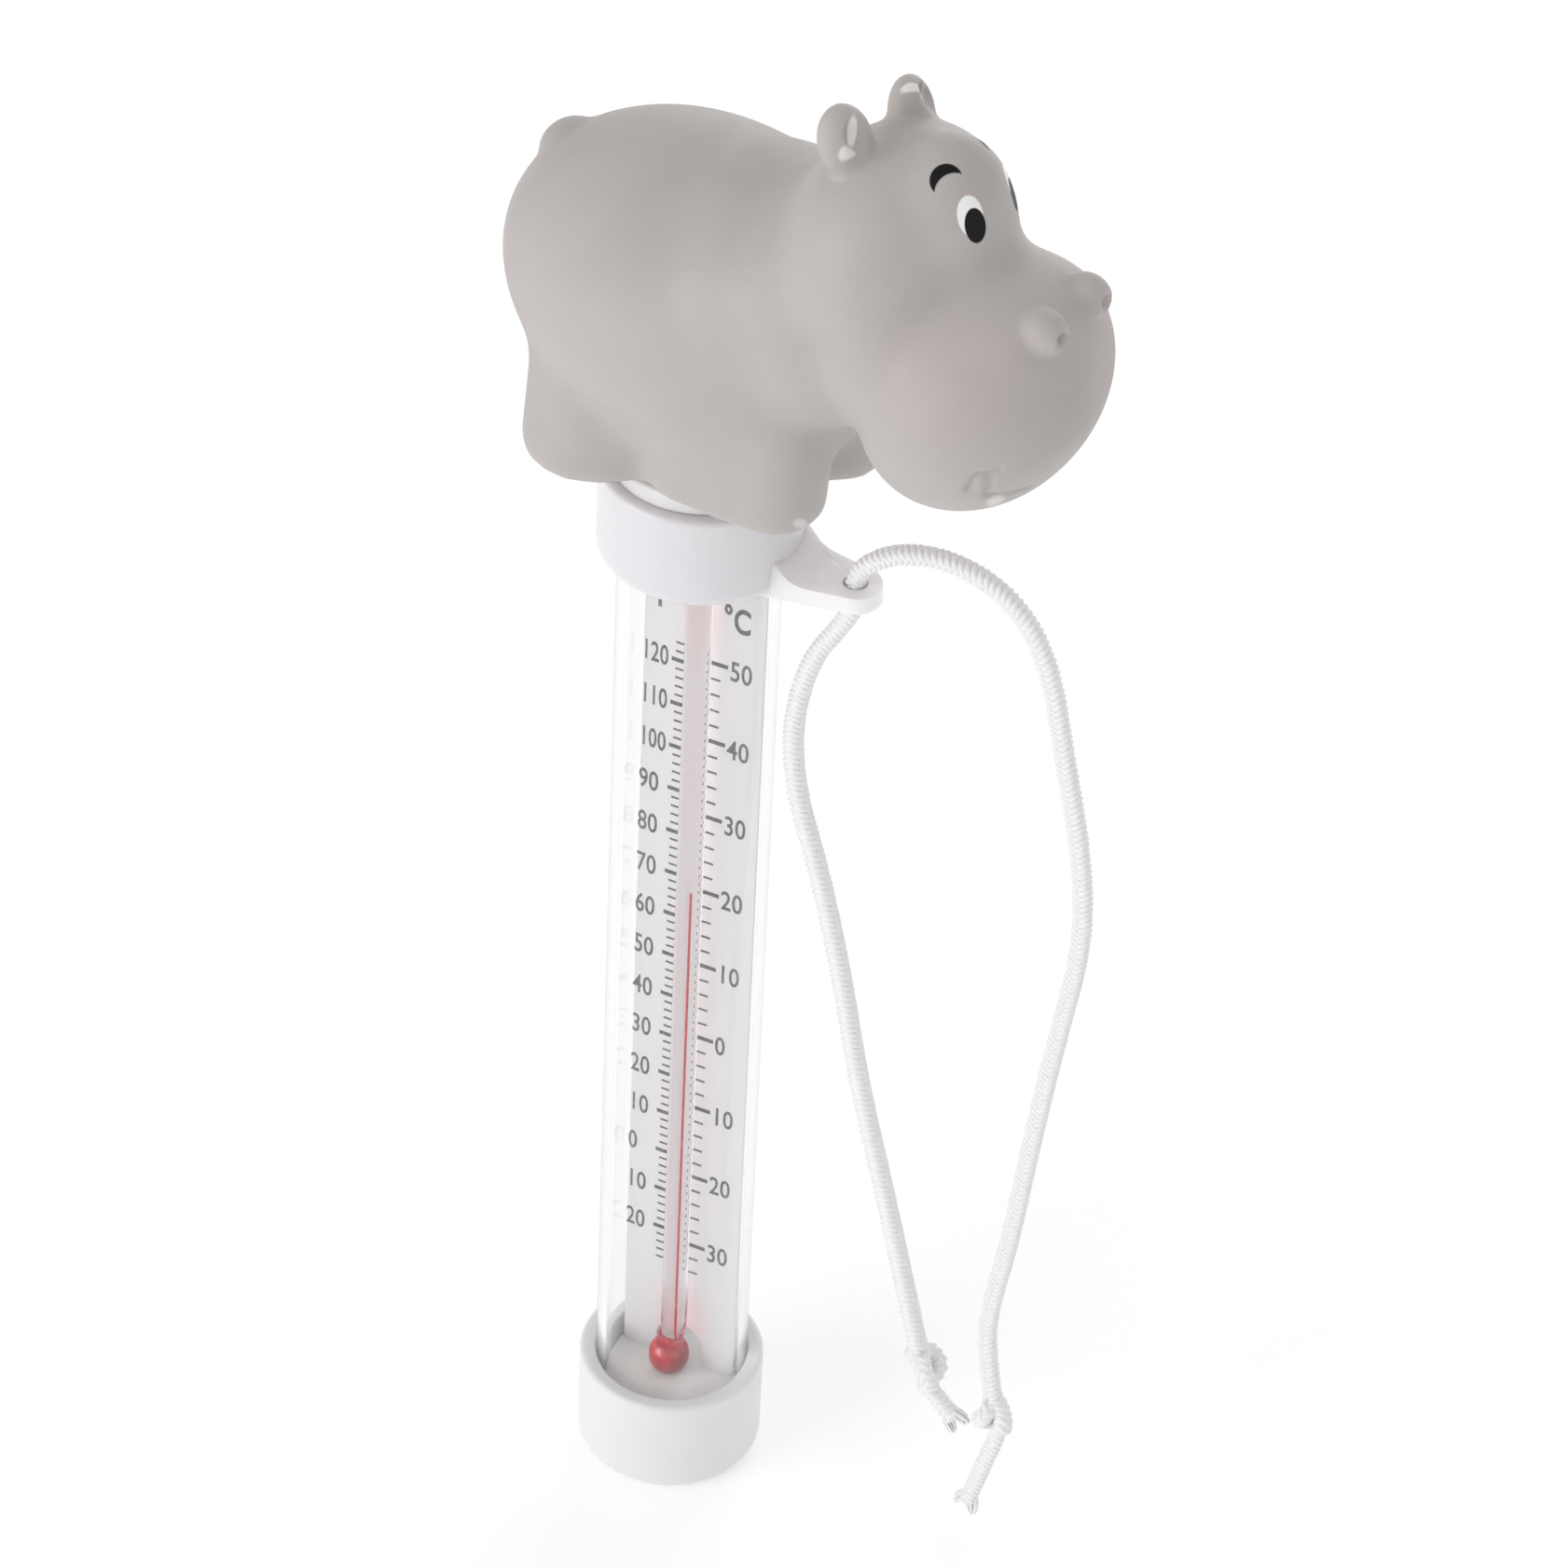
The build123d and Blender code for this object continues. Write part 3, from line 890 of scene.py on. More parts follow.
@dataclass
class Finishes:
    """Every finish of the thermometer, made once.

    Attributes:
        made: The material of each slot.
    """

    made: dict[Slot, bpy.types.Material] = field(default_factory=dict)

    def build(self) -> None:
        """Make the plain finishes."""
        pink = (0.80, 0.50, 0.50, 1.0)
        red = (0.85, 0.36, 0.40, 1.0)
        # Painted glow: the red spirit's light painted on the plate, pink at the stem's top and
        # faintly along it, red round the bulb's neck.
        glow = (
            Stain((-0.3, 1.5, 138.5), (2.6, 0.8, 5.0), pink, 0.32),
            Stain((0.2, 1.5, 75.0), (2.6, 0.8, 90.0), pink, 0.15),
            Stain((0.4, 1.5, 20.0), (3.6, 1.0, 5.0), red, 0.34),
        )
        cap = (0.765, 0.775, 0.765, 1), (0.74, 0.75, 0.745, 1), (0.34, 0.46)
        collar = (0.71, 0.69, 0.72, 1), (0.705, 0.685, 0.715, 1), (0.24, 0.32)
        plug = (0.78, 0.76, 0.775, 1), (0.75, 0.73, 0.74, 1), (0.3, 0.42)
        plate = (0.725, 0.715, 0.735, 1), (0.69, 0.68, 0.70, 1), (0.38, 0.5)
        rubber = (0.72, 0.72, 0.71, 1), (0.64, 0.64, 0.63, 1), (0.5, 0.66)
        foam = (0.90, 0.90, 0.89, 1), (0.84, 0.84, 0.83, 1), (0.8, 0.95)
        finishes = {
            Slot.CAP: Moulded("white_cap", *cap, 4200.0, 0.000012, 0.10),
            Slot.COLLAR: Moulded("white_collar", *collar, 3500.0, 0.000006, 0.12, 0.10),
            Slot.PLUG: Moulded("frosted_plug", *plug, 3500.0, 0.00001, 0.25),
            Slot.TUBE: Clear("clear_plastic", (0.985, 0.98, 0.975, 1), (0.0, 0.03), 1.49, 6e-7),
            Slot.PLATE: Moulded("scale_white", *plate, 5200.0, 0.000006, stains=glow),
            Slot.STEM: Clear("stem_glass", (1.0, 0.945, 0.94, 1), (0.0, 0.02), 1.5),
            Slot.SPIRIT: Spirit(),
            Slot.STEEL: Steel("slug_steel"),
            Slot.SPRING: Steel("spring_steel", (0.48, 0.48, 0.5, 1), (0.34, 0.34, 0.35, 1)),
            Slot.RUBBER: Moulded("pale_rubber", *rubber, 3000.0, 0.00002, 0.2),
            Slot.FOAM: Moulded("white_foam", *foam, 2400.0, 0.00008, 0.2),
            Slot.BRAID: Yarn(),
        }
        self.made = {slot: finish.build() for slot, finish in finishes.items()}

    def coat(self, piece: bpy.types.Object, material: bpy.types.Material) -> None:
        """Make a material the only one on a piece."""
        piece.data.materials.clear()
        piece.data.materials.append(material)

    def dress(
        self,
        piece: bpy.types.Object,
        slot: Slot,
        body: Body,
        *nodes: str,
        material: bpy.types.Material | None = None,
    ) -> bpy.types.Object:
        """Give a new piece its finish and body, and hide the CAD nodes it stands for.

        Args:
            piece: The finished piece.
            slot: Its material slot.
            body: The body that it rides on.
            *nodes: CAD nodes that it replaces.
            material: Its material, when that isn't the slot's own.

        Returns:
            The piece.
        """
        self.coat(piece, material or self.made[slot])
        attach(piece, body.value)
        if nodes:
            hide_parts(*nodes)
        LOG.info("%s: %d faces, on %s", piece.name, len(piece.data.polygons), body.value)
        return piece

    def carry(self, node: str, slot: Slot) -> None:
        """Put a finish on a CAD node that stays as it is.

        Args:
            node: The CAD node's name.
            slot: Its material slot.
        """
        self.coat(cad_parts[node], self.made[slot])
        LOG.info("%s: CAD shape kept, finish %s", node, slot.value)


# ---------------------------------------------------------------- studio


@dataclass
class Studio:
    """Camera, soft lights and pale floor.

    Attributes:
        azimuth: Camera's way round from the front, in degrees.
        elevation: Camera's height angle, in degrees.
        roll: Tilt of the frame, in degrees.
        aim: Sideways and upward place of the aim point, in millimetres.
        reach: Distance from the aim point, in millimetres.
        lens: Focal length on a 36 mm sensor.
        lamps: Name, place, aim height and size in metres, and power in watts of each lamp.
        sky: Strength of the plain white surroundings.
    """

    azimuth: float = 33.0
    elevation: float = 40.33
    roll: float = 2.768
    aim: Pair = (11.28, 113.52)
    reach: float = 788.2
    lens: float = 147.52
    lamps: tuple[tuple[str, Point, float, float, float], ...] = (
        ("key_left", (-0.55, -1.0, 0.42), 0.13, 0.8, 6.0),
        ("top", (0.1, 0.25, 1.25), 0.1, 0.9, 1.7),
        ("fill_right", (0.95, -0.2, 0.35), 0.12, 0.7, 0.8),
        ("back", (-0.3, 1.0, 0.4), 0.12, 0.7, 2.5),
    )
    sky: float = 0.60

    def camera(self) -> None:
        """Place the camera."""
        right, up, back, level = view_axes(self.azimuth, self.elevation, self.roll)
        place = (level * self.aim[0] + Vector((0.0, 0.0, self.aim[1])) + back * self.reach) * MM
        data = bpy.data.cameras.new("camera")
        data.lens = self.lens
        data.sensor_width = 36.0
        data.clip_start = 0.01
        data.clip_end = 20.0
        camera = placed("camera", data)
        turn = Matrix((right, up, back)).transposed().to_4x4()
        camera.matrix_world = Matrix.Translation(place) @ turn
        bpy.context.scene.camera = camera

    def light(self) -> None:
        """Light the set softly from all round, a little stronger from above the camera."""
        for name, place, height, size, power in self.lamps:
            data = bpy.data.lights.new(name, "AREA")
            data.shape = "SQUARE"
            data.size = size
            data.energy = power
            lamp = placed(name, data)
            lamp.location = place
            way = Vector((0.0, 0.0, height)) - Vector(place)
            lamp.rotation_euler = way.to_track_quat("-Z", "Y").to_euler()
        world = bpy.data.worlds.new("studio")
        world.use_nodes = True
        light = {0: (1.0, 1.0, 1.0, 1.0), 1: self.sky}
        Bench(world.node_tree).feed(world.node_tree.nodes["Background"], light)
        bpy.context.scene.world = world

    def floor(self) -> None:
        """Lay the pale floor."""
        work = bmesh.new()
        bmesh.ops.create_grid(work, x_segments=1, y_segments=1, size=6.0)
        mesh = bpy.data.meshes.new("floor")
        work.to_mesh(mesh)
        work.free()
        material, bench, shader, _ = new_material("pale_floor")
        patch = bench.noise(bench.where(), 6.0, 2.0)
        inputs = {
            "Base Color": bench.mix(patch, (0.84, 0.84, 0.84, 1.0), (0.86, 0.86, 0.86, 1.0)),
            "Roughness": 0.9,
            "Emission Color": (1.0, 1.0, 1.0, 1.0),
            "Emission Strength": 0.27,
        }
        bench.feed(shader, inputs)
        mesh.materials.append(material)
        placed("floor", mesh)

    def build(self) -> None:
        """Make the whole set."""
        self.camera()
        self.light()
        self.floor()
        LOG.info("studio ready")


# ---------------------------------------------------------------- tether cord


def line_length(line: Sequence[Vector]) -> float:
    """Add up a line's length."""
    return sum((b - a).length for a, b in zip(line, line[1:]))


@dataclass
class Strand:
    """One braided strand of the tether with its knot and frayed tail.

    Attributes:
        name: Short name, such as lower.
        route: Distance out and height of each route point, in millimetres.
        tail_end: Distance out and height of the tail's end.
        length: The strand's real length in metres; not used.
        flip: Mirrors the knot so that the two differ.
        tufts: Side places of the frayed tail's lobes, as shares of the radius.
        seed: Seed of the frayed filaments.
        yaw: Turn of the strand's upright plane, in degrees.
        radius: Radius of the cord.
        carriers: Yarns that wind each way round the cord.
        lay_length: Length of one turn of a yarn.
        yarn: Radius of one yarn.
        knot_shape: The knot's route along, beside and across the cord's way into it.
    """

    name: str
    route: tuple[Pair, ...]
    tail_end: Pair
    length: float
    flip: float
    tufts: tuple[Pair, ...]
    seed: int
    yaw: float = 9.0
    radius: float = 1.4
    carriers: int = 4
    lay_length: float = 3.3
    yarn: float = 0.36
    knot_shape: tuple[Point, ...] = (
        (-3.1, 0.0, 0.0),
        (-1.9, 0.35, -1.2),
        (0.4, 1.9, -2.1),
        (2.2, 0.5, 0.0),
        (1.4, -1.8, 1.9),
        (-0.9, -2.2, 1.5),
        (-2.2, 0.0, 0.1),
        (-1.4, 2.2, 0.2),
        (0.5, 1.3, 2.2),
        (1.9, -0.9, 0.6),
        (3.1, -0.2, -0.1),
    )

    def point(self, out: float, height: float, aside: float = 0.0) -> Vector:
        """Turn a point of the cord's own plane into the row frame.

        Args:
            out: Distance from the tube's axis, in millimetres.
            height: Height, in millimetres.
            aside: Distance out of the plane, in millimetres.

        Returns:
            The point in metres.
        """
        yaw = math.radians(self.yaw)
        x = out * math.cos(yaw) - aside * math.sin(yaw)
        y = out * math.sin(yaw) + aside * math.cos(yaw)
        return mm(x, y, height)

    def spline_points(self, points: Sequence[Vector], divisions: int = 24) -> list[Vector]:
        """Read the smooth line that a NURBS spline makes of its control points.

        Args:
            points: Control points in metres.
            divisions: Points made between two control points.

        Returns:
            The points along the line.
        """
        data = bpy.data.curves.new("line", "CURVE")
        data.dimensions = "3D"
        spline = add_line(data, "NURBS", points)
        spline.order_u = 3
        spline.use_endpoint_u = True
        spline.resolution_u = divisions
        data.resolution_u = divisions
        mesh = curve_mesh(data)
        found = [v.co.copy() for v in mesh.vertices]
        bpy.data.meshes.remove(mesh)
        return found

    def evenly(self, line: Sequence[Vector], step: float) -> list[Vector]:
        """Walk along a line in even steps.

        Args:
            line: Points along the line.
            step: Step in metres.

        Returns:
            Points a step apart, with both ends.
        """
        total = line_length(line)
        count = max(2, round(total / step))
        walked, target, result = 0.0, total / count, [line[0].copy()]
        for a, b in zip(line, line[1:]):
            run = (b - a).length
            while run > 0 and walked + run >= target - 1e-9 and len(result) < count:
                result.append(a.lerp(b, (target - walked) / run))
                target += total / count
            walked += run
        result.append(line[-1].copy())
        return result

    def frames(self, line: Sequence[Vector]) -> list[tuple[Vector, Vector, Vector]]:
        """Carry an untwisted pair of side directions along a line.

        Args:
            line: Points along the line.

        Returns:
            Point and two side directions at each point.
        """
        result = []
        side = None
        for index, here in enumerate(line):
            ahead = line[min(index + 1, len(line) - 1)]
            way = (ahead - line[max(index - 1, 0)]).normalized()
            if side is None:
                side = way.orthogonal().normalized()
            side = (side - way * side.dot(way)).normalized()
            result.append((here, side, way.cross(side)))
        return result

    def braid(self, name: str, line: Sequence[Vector], scale: float = 1.0) -> bpy.types.Object:
        """Weave yarns over and under each other round a line.

        Args:
            name: Name of the piece.
            line: The cord's centreline, in metres.
            scale: Thickness as a share of the cord's own.

        Returns:
            The woven cover, with a plain core under it, as a mesh.
        """
        radius, yarn = scale * self.radius, scale * self.yarn
        steps = self.evenly(line, 0.00026)
        rails = self.frames(steps)
        cover = thick_curve(name, yarn * MM, 1)
        spacing = line_length(steps) / (len(steps) - 1)
        turn_rate = math.tau / (self.lay_length * MM)
        swing = 0.17 * radius
        middle = radius - yarn - swing
        for hand in (-1.0, 1.0):
            for carrier in range(self.carriers):
                start = math.tau * (carrier + (0.5 if hand > 0 else 0.0)) / self.carriers
                wound = []
                for index, (here, side, other) in enumerate(rails):
                    angle = start + hand * turn_rate * (index * spacing)
                    weave = math.cos(self.carriers * angle / 2.0)
                    out = (middle + hand * swing * weave) * MM
                    wound.append(here + (side * math.cos(angle) + other * math.sin(angle)) * out)
                add_line(cover, "POLY", wound)
        core = thick_curve("core", 0.78 * radius * MM, 2)
        add_line(core, "POLY", steps[::2] + [steps[-1]])
        work = bmesh.new()
        absorb(work, curve_mesh(cover))
        absorb(work, curve_mesh(core))
        return finished_mesh(name, work, 180.0)

    def knot_line(self) -> list[Vector]:
        """Lay out the overhand knot and the tail after it.

        Returns:
            Control points in metres.
        """
        last = self.point(*self.route[-1])
        way = (last - self.point(*self.route[-2])).normalized()
        side = self.point(0.0, 0.0, 1.0).normalized() * self.flip
        across = way.cross(side).normalized()
        end = self.point(*self.tail_end)
        middle = last + way * (3.1 * MM)
        points = [
            middle + way * (a * MM) + side * (b * MM) + across * (c * MM)
            for a, b, c in self.knot_shape
        ]
        leave = points[-1]
        points.append(leave.lerp(end, 0.35) + side * (0.25 * MM))
        points.append(leave.lerp(end, 0.7) - side * (0.2 * MM))
        points.append(end)
        return points

    def fray(self, line: Sequence[Vector]) -> bpy.types.Mesh:
        """Splay loose filaments from the tail's tip.

        Args:
            line: The knot and tail's centreline.

        Returns:
            The filaments' mesh.
        """
        chance = random.Random(self.seed)
        end = line[-1]
        way = (line[-1] - line[-6]).normalized()
        side = self.point(0.0, 0.0, 1.0).normalized()
        side = (side - way * side.dot(way)).normalized()
        other = way.cross(side)
        data = thick_curve("fray", 0.13 * MM, 0)
        for across, aside in self.tufts:
            lobe = (other * across + side * aside) * self.radius
            for _ in range(30):
                angle = chance.uniform(0.0, math.tau)
                out = math.sqrt(chance.random()) * 0.8
                ring = side * math.cos(angle) + other * math.sin(angle)
                reach = chance.uniform(1.1, 1.9) - 0.5 * out
                filament = []
                for share in (0.0, 0.25, 0.5, 0.75, 1.0):
                    swell = 0.35 + 0.65 * math.sin(math.pi * min(1.0, share * 0.85))
                    spread = lobe * (0.35 + 0.65 * share) + ring * (out * swell)
                    along = way * ((-1.6 + (1.6 + reach) * share) * MM)
                    filament.append(end + along + spread * MM)
                add_line(data, "POLY", filament)
        return curve_mesh(data)

    def build(self, finishes: Finishes) -> None:
        """Make the strand, its knot and its tail.

        Args:
            finishes: The thermometer's finishes.
        """
        line = self.spline_points([self.point(*spot) for spot in self.route])
        cord = self.braid(f"tether_{self.name}", line)
        finishes.dress(cord, Slot.BRAID, Body.FLOAT, f"tether_cord_{self.name}")
        knot_path = self.spline_points(self.knot_line(), 12)
        knot = self.braid(f"knot_{self.name}", knot_path, 0.95)
        work = bmesh.new()
        work.from_mesh(knot.data)
        absorb(work, self.fray(knot_path))
        write_smooth(work, knot.data)
        finishes.dress(knot, Slot.BRAID, Body.FLOAT, f"cord_knot_{self.name}")


LOWER = Strand(
    "lower",
    (
        (20.3, 151.1),
        (20.3, 148.2),
        (18.4, 144.4),
        (15.0, 138.4),
        (13.0, 128.0),
        (13.9, 117.5),
        (17.6, 106.0),
        (21.4, 90.5),
        (24.6, 73.5),
        (29.3, 55.5),
        (33.2, 39.5),
        (35.2, 31.2),
    ),
    (40.9, 21.3),
    0.1239,
    1.0,
    ((-0.9, -0.5), (0.9, -0.2), (0.0, 0.8)),
    3,
)
UPPER = Strand(
    "upper",
    (
        (20.3, 151.1),
        (20.3, 153.5),
        (22.3, 156.1),
        (26.0, 158.7),
        (31.5, 159.9),
        (37.5, 158.7),
        (42.6, 154.7),
        (46.0, 147.8),
        (48.4, 136.5),
        (51.6, 122.5),
        (52.9, 109.0),
        (50.6, 92.5),
        (48.3, 73.0),
        (46.6, 55.5),
        (44.3, 41.0),
        (45.0, 33.0),
        (46.0, 27.6),
    ),
    (43.6, 7.0),
    0.1571,
    -1.0,
    ((-0.95, 0.1), (0.95, -0.1)),
    8,
)


# ---------------------------------------------------------------- tube and cap


@dataclass
class Foot:
    """The bottom cap that closes and weights the tube.

    Attributes:
        outer: Outer radius.
        height: Height.
        socket: Radius of the socket for the tube.
        floor: Thickness of its floor.
    """

    outer: float = 12.13
    height: float = 15.3
    socket: float = 10.03
    floor: float = 3.0

    def build(self, finishes: Finishes) -> None:
        """Make the cap.

        Args:
            finishes: The thermometer's finishes.
        """
        outline = rounded(
            [
                (0.0, 0.0, 0.0),
                (self.outer, 0.0, 1.85),
                (self.outer + 0.05, self.height, 0.75),
                (self.socket, self.height, 0.35),
                (self.socket, self.floor, 0.3),
                (0.0, self.floor, 0.0),
            ]
        )
        cap = lathe("bottom_cap_shell", outline, sharp=60.0)
        finishes.dress(cap, Slot.CAP, Body.FLOAT, "bottom_cap")
        finishes.carry("bottom_gasket", Slot.RUBBER)
        finishes.carry("ballast_slug", Slot.STEEL)
        finishes.carry("bulb_cushion", Slot.FOAM)


@dataclass
class Tube:
    """The clear tube.

    Attributes:
        outer: Outer radius.
        wall: Wall thickness.
        low: Height of its lower end.
        high: Height of its upper end.
    """

    outer: float = 10.0
    wall: float = 1.2
    low: float = 4.0
    high: float = 156.5

    def build(self, finishes: Finishes) -> None:
        """Make the tube with lightly eased rims.

        Args:
            finishes: The thermometer's finishes.
        """
        inner = self.outer - self.wall
        outline = rounded(
            [
                (inner, self.low, 0.15),
                (self.outer, self.low, 0.25),
                (self.outer, self.high, 0.25),
                (inner, self.high, 0.15),
            ],
            3,
        )
        tube = lathe("clear_tube_wall", outline, steps=160)
        finishes.dress(tube, Slot.TUBE, Body.FLOAT, "clear_tube")


@dataclass(frozen=True)
class Word:
    """One printed word.

    Attributes:
        text: Its letters.
        across: Sideways place of the end that it is set from.
        height: Height of its middle.
        size: Size of the letters.
        align: Which end it is set from.
    """

    text: str
    across: float
    height: float
    size: float = 4.3
    align: str = "LEFT"


@dataclass
class Insert:
    """The printed plate inside the tube.

    Attributes:
        yaw: The plate's turn about the tube's axis, in degrees.
        front: Distance of the printed face from the axis.
        pitch: Height of one degree Celsius.
        zero: Height of the 0 degree Celsius mark.
        stem: Sideways place of the glass stem.
        ink_lift: Distance of the print's middle before the face.
        ink_depth: Thickness of the print.
    """

    yaw: float = 9.5
    front: float = 1.5
    pitch: float = 1.229
    zero: float = 70.5
    stem: float = 0.3
    ink_lift: float = 0.02
    ink_depth: float = 0.03

    def place(self) -> Matrix:
        """Give the turn from the print's own plane, x right and y up, to the row frame."""
        upright = Matrix.Rotation(math.radians(90.0), 4, "X")
        forward = Matrix.Translation((0.0, (self.front - self.ink_lift) * MM, 0.0))
        return turned(self.yaw) @ forward @ upright

    def celsius(self, degree: float) -> float:
        """Give the height of a degree Celsius."""
        return self.zero + degree * self.pitch

    def fahrenheit(self, degree: float) -> float:
        """Give the height of a degree Fahrenheit."""
        return self.zero + (degree - 32.0) / 1.8 * self.pitch

    def bar(
        self, work: bmesh.types.BMesh, left: float, right: float, height: float, thick: float
    ) -> None:
        """Add one printed mark.

        Args:
            work: The bmesh of marks.
            left: Left end, in millimetres from the stem.
            right: Right end, in millimetres from the stem.
            height: Height of its middle.
            thick: Its thickness.
        """
        left, right = self.stem + left, self.stem + right
        size = Matrix.Diagonal(((right - left) * MM, thick * MM, self.ink_depth * MM, 1.0))
        spot = Matrix.Translation(mm((left + right) / 2.0, height, 0.0))
        bmesh.ops.create_cube(work, size=1.0, matrix=self.place() @ spot @ size)

    def marks(self) -> bpy.types.Object:
        """Print both sets of marks, and the thin row of dots beside the stem.

        Returns:
            The marks as one mesh.
        """
        work = bmesh.new()
        for degree in range(-34, 51, 2):
            long = degree % 10 == 0
            right, thick = (3.25, 0.62) if long else (2.3, 0.32)
            self.bar(work, 0.85, right, self.celsius(degree), thick)
        for degree in range(-28, 125, 2):
            long = degree % 10 == 0
            left, thick = (-4.35, 0.60) if long else (-3.8, 0.30)
            self.bar(work, left, -1.5, self.fahrenheit(degree), thick)
            self.bar(work, -1.06, -0.97, self.fahrenheit(degree), 0.42)
        return finished_mesh("scale_marks", work, 20.0)

    def letters(
        self, name: str, words: Sequence[Word], narrow: float, bold: float
    ) -> bpy.types.Object:
        """Print lettering.

        Args:
            name: Name of the piece.
            words: The words.
            narrow: Width of the letters as a share of their natural width.
            bold: Thickening of the strokes, in millimetres.

        Returns:
            The lettering as one mesh.
        """
        work = bmesh.new()
        for word in words:
            data = bpy.data.curves.new("letters", "FONT")
            data.body = word.text
            data.size = word.size * MM
            data.align_x = word.align
            data.align_y = "CENTER"
            data.extrude = self.ink_depth * MM / 2.0
            data.resolution_u = 6
            data.offset = bold * MM
            data.space_character = 1.04
            mesh = curve_mesh(data)
            spot = Matrix.Translation(mm(word.across, word.height, 0.0))
            mesh.transform(self.place() @ spot @ Matrix.Diagonal((narrow, 1.0, 1.0, 1.0)))
            absorb(work, mesh)
        return finished_mesh(name, work, 20.0)

    def build(self, finishes: Finishes, ink: bpy.types.Material) -> None:
        """Finish the plate and print it.

        Args:
            finishes: The thermometer's finishes.
            ink: The printing ink.
        """
        finishes.carry("scale_plate", Slot.PLATE)
        celsius = [
            Word(str(abs(d)), self.stem + 3.5, self.celsius(d) - 0.5) for d in range(-30, 51, 10)
        ]
        fahrenheit = [
            Word(str(abs(d)), self.stem - 8.65, self.fahrenheit(d) - 0.1)
            for d in range(-20, 121, 10)
        ]
        titles = [
            Word("°C", self.stem + 2.4, 139.4, 5.2),
            Word("°F", self.stem - 5.1, 139.6, 5.2, "RIGHT"),
        ]
        hundreds = [word for word in fahrenheit if len(word.text) == 3]
        rest = [word for word in fahrenheit if len(word.text) < 3]
        for piece in (
            self.marks(),
            self.letters("celsius_numerals", celsius, 0.67, 0.04),
            self.letters("fahrenheit_hundreds", hundreds, 0.585, 0.04),
            self.letters("fahrenheit_numerals", rest, 0.69, 0.04),
            self.letters("scale_titles", titles, 0.62, 0.12),
        ):
            finishes.dress(piece, Slot.PLATE, Body.FLOAT, material=ink)


@dataclass
class Stem:
    """The glass stem with its bulb, spirit column and moving top.

    Attributes:
        centre: Sideways and forward place in the plate's frame.
        bulb_shift: Sideways distance from the rod's axis to the bulb's.
        thread_shift: Sideways distance from the rod's axis to the spirit column's.
        yaw: Turn of the plate's frame.
        radius: Radius of the rod.
        bulb: Radius of the bulb.
        bulb_height: Height of the bulb's middle.
        tall: Height of the bulb as a share of its width.
        top: Height of the rod's top.
        column: Radius of the spirit column.
        column_low: Height where the column starts.
        reading: Height of the column's top at rest.
        cup: Length of the moving top.
        neck: Heights where the bulb's sideways shift is whole, and where it has ended.
    """

    centre: Pair = (0.3, -0.25)
    bulb_shift: float = -0.55
    thread_shift: float = 0.12
    yaw: float = 9.5
    radius: float = 1.7
    bulb: float = 2.72
    bulb_height: float = 14.4
    tall: float = 1.1
    top: float = 148.5
    column: float = 0.095
    column_low: float = 18.0
    reading: float = 96.326
    cup: float = 2.0
    neck: Pair = (16.5, 20.5)

    def axis(self, shift: float = 0.0) -> Pair:
        """Give the place of the rod's axis, or of one beside it, in millimetres."""
        spot = turned(self.yaw) @ Vector((self.centre[0] + shift, self.centre[1], 0.0))
        return spot.x, spot.y

    def lean(self, piece: bpy.types.Object) -> bpy.types.Object:
        """Set the bulb aside from the rod with a smooth neck between them.

        Args:
            piece: A piece made about the rod's axis.

        Returns:
            The same piece, shifted below the neck.
        """
        way = turned(self.yaw) @ mm(self.bulb_shift, 0.0, 0.0)
        low, high = self.neck
        for vert in piece.data.vertices:
            vert.co += way * smooth_step(high, low, vert.co.z / MM)
        return piece

    def ball(self, size: float, steps: int, stride: float) -> list[Pair]:
        """Outline the bulb, or the fill inside it, from its lowest point up.

        Args:
            size: Radius at its widest, in millimetres.
            steps: Number of points.
            stride: Angle between two points, in degrees.

        Returns:
            Radius and height of each point.
        """
        angles = [math.radians(-90.0 + step * stride) for step in range(steps)]
        return [
            (max(0.0, size * math.cos(a)), self.bulb_height + size * self.tall * math.sin(a))
            for a in angles
        ]

    def glass(self) -> bpy.types.Object:
        """Draw the rod and blow the bulb.

        Returns:
            The glass as one closed lathe shape.
        """
        outline = self.ball(self.bulb, 19, 7.6)
        wide, high = outline[-1]
        for share in (0.35, 0.7, 1.0):
            outline.append((wide + (self.radius - wide) * share, high + 1.6 * share))
        for height in range(20, 146, 3):
            outline.append((self.radius, float(height)))
        for step in range(9):
            angle = math.radians(step * 11.25)
            rise = self.top - self.radius + self.radius * math.sin(angle)
            outline.append((self.radius * math.cos(angle), rise))
        return self.lean(lathe("stem_rod", outline, self.axis(), 56, 180.0))

    def pool(self) -> bpy.types.Object:
        """Fill the bulb with spirit.

        Returns:
            The red fill with its short neck.
        """
        size = self.bulb - 0.2
        outline = self.ball(size, 18, 9.4)
        outline += [
            (self.column * 1.6, self.bulb_height + size * self.tall + 0.2),
            (self.column, self.column_low),
            (0.0, self.column_low),
        ]
        return self.lean(lathe("bulb_fill", outline, self.axis(), 48, 180.0))

    def thread(self) -> bpy.types.Object:
        """Make the stretching column.

        Returns:
            The column, in short rings so that it can stretch.
        """
        high = self.reading - self.cup
        rise, rings = high - self.column_low, 64
        outline = [(0.0, self.column_low)]
        outline += [
            (self.column, self.column_low + rise * ring / rings) for ring in range(rings + 1)
        ]
        outline.append((0.0, high))
        return lathe("spirit_thread", outline, self.axis(self.thread_shift), 16, 60.0)

    def cap(self) -> bpy.types.Object:
        """Make the moving top of the column with its hollow meniscus.

        Returns:
            The small top piece.
        """
        low = self.reading - self.cup
        outline = [
            (0.0, low),
            (self.column, low),
            (self.column, self.reading),
            (self.column * 0.75, self.reading - 0.06),
            (self.column * 0.4, self.reading - 0.13),
            (0.0, self.reading - 0.16),
        ]
        return lathe("spirit_top", outline, self.axis(self.thread_shift), 16, 60.0)

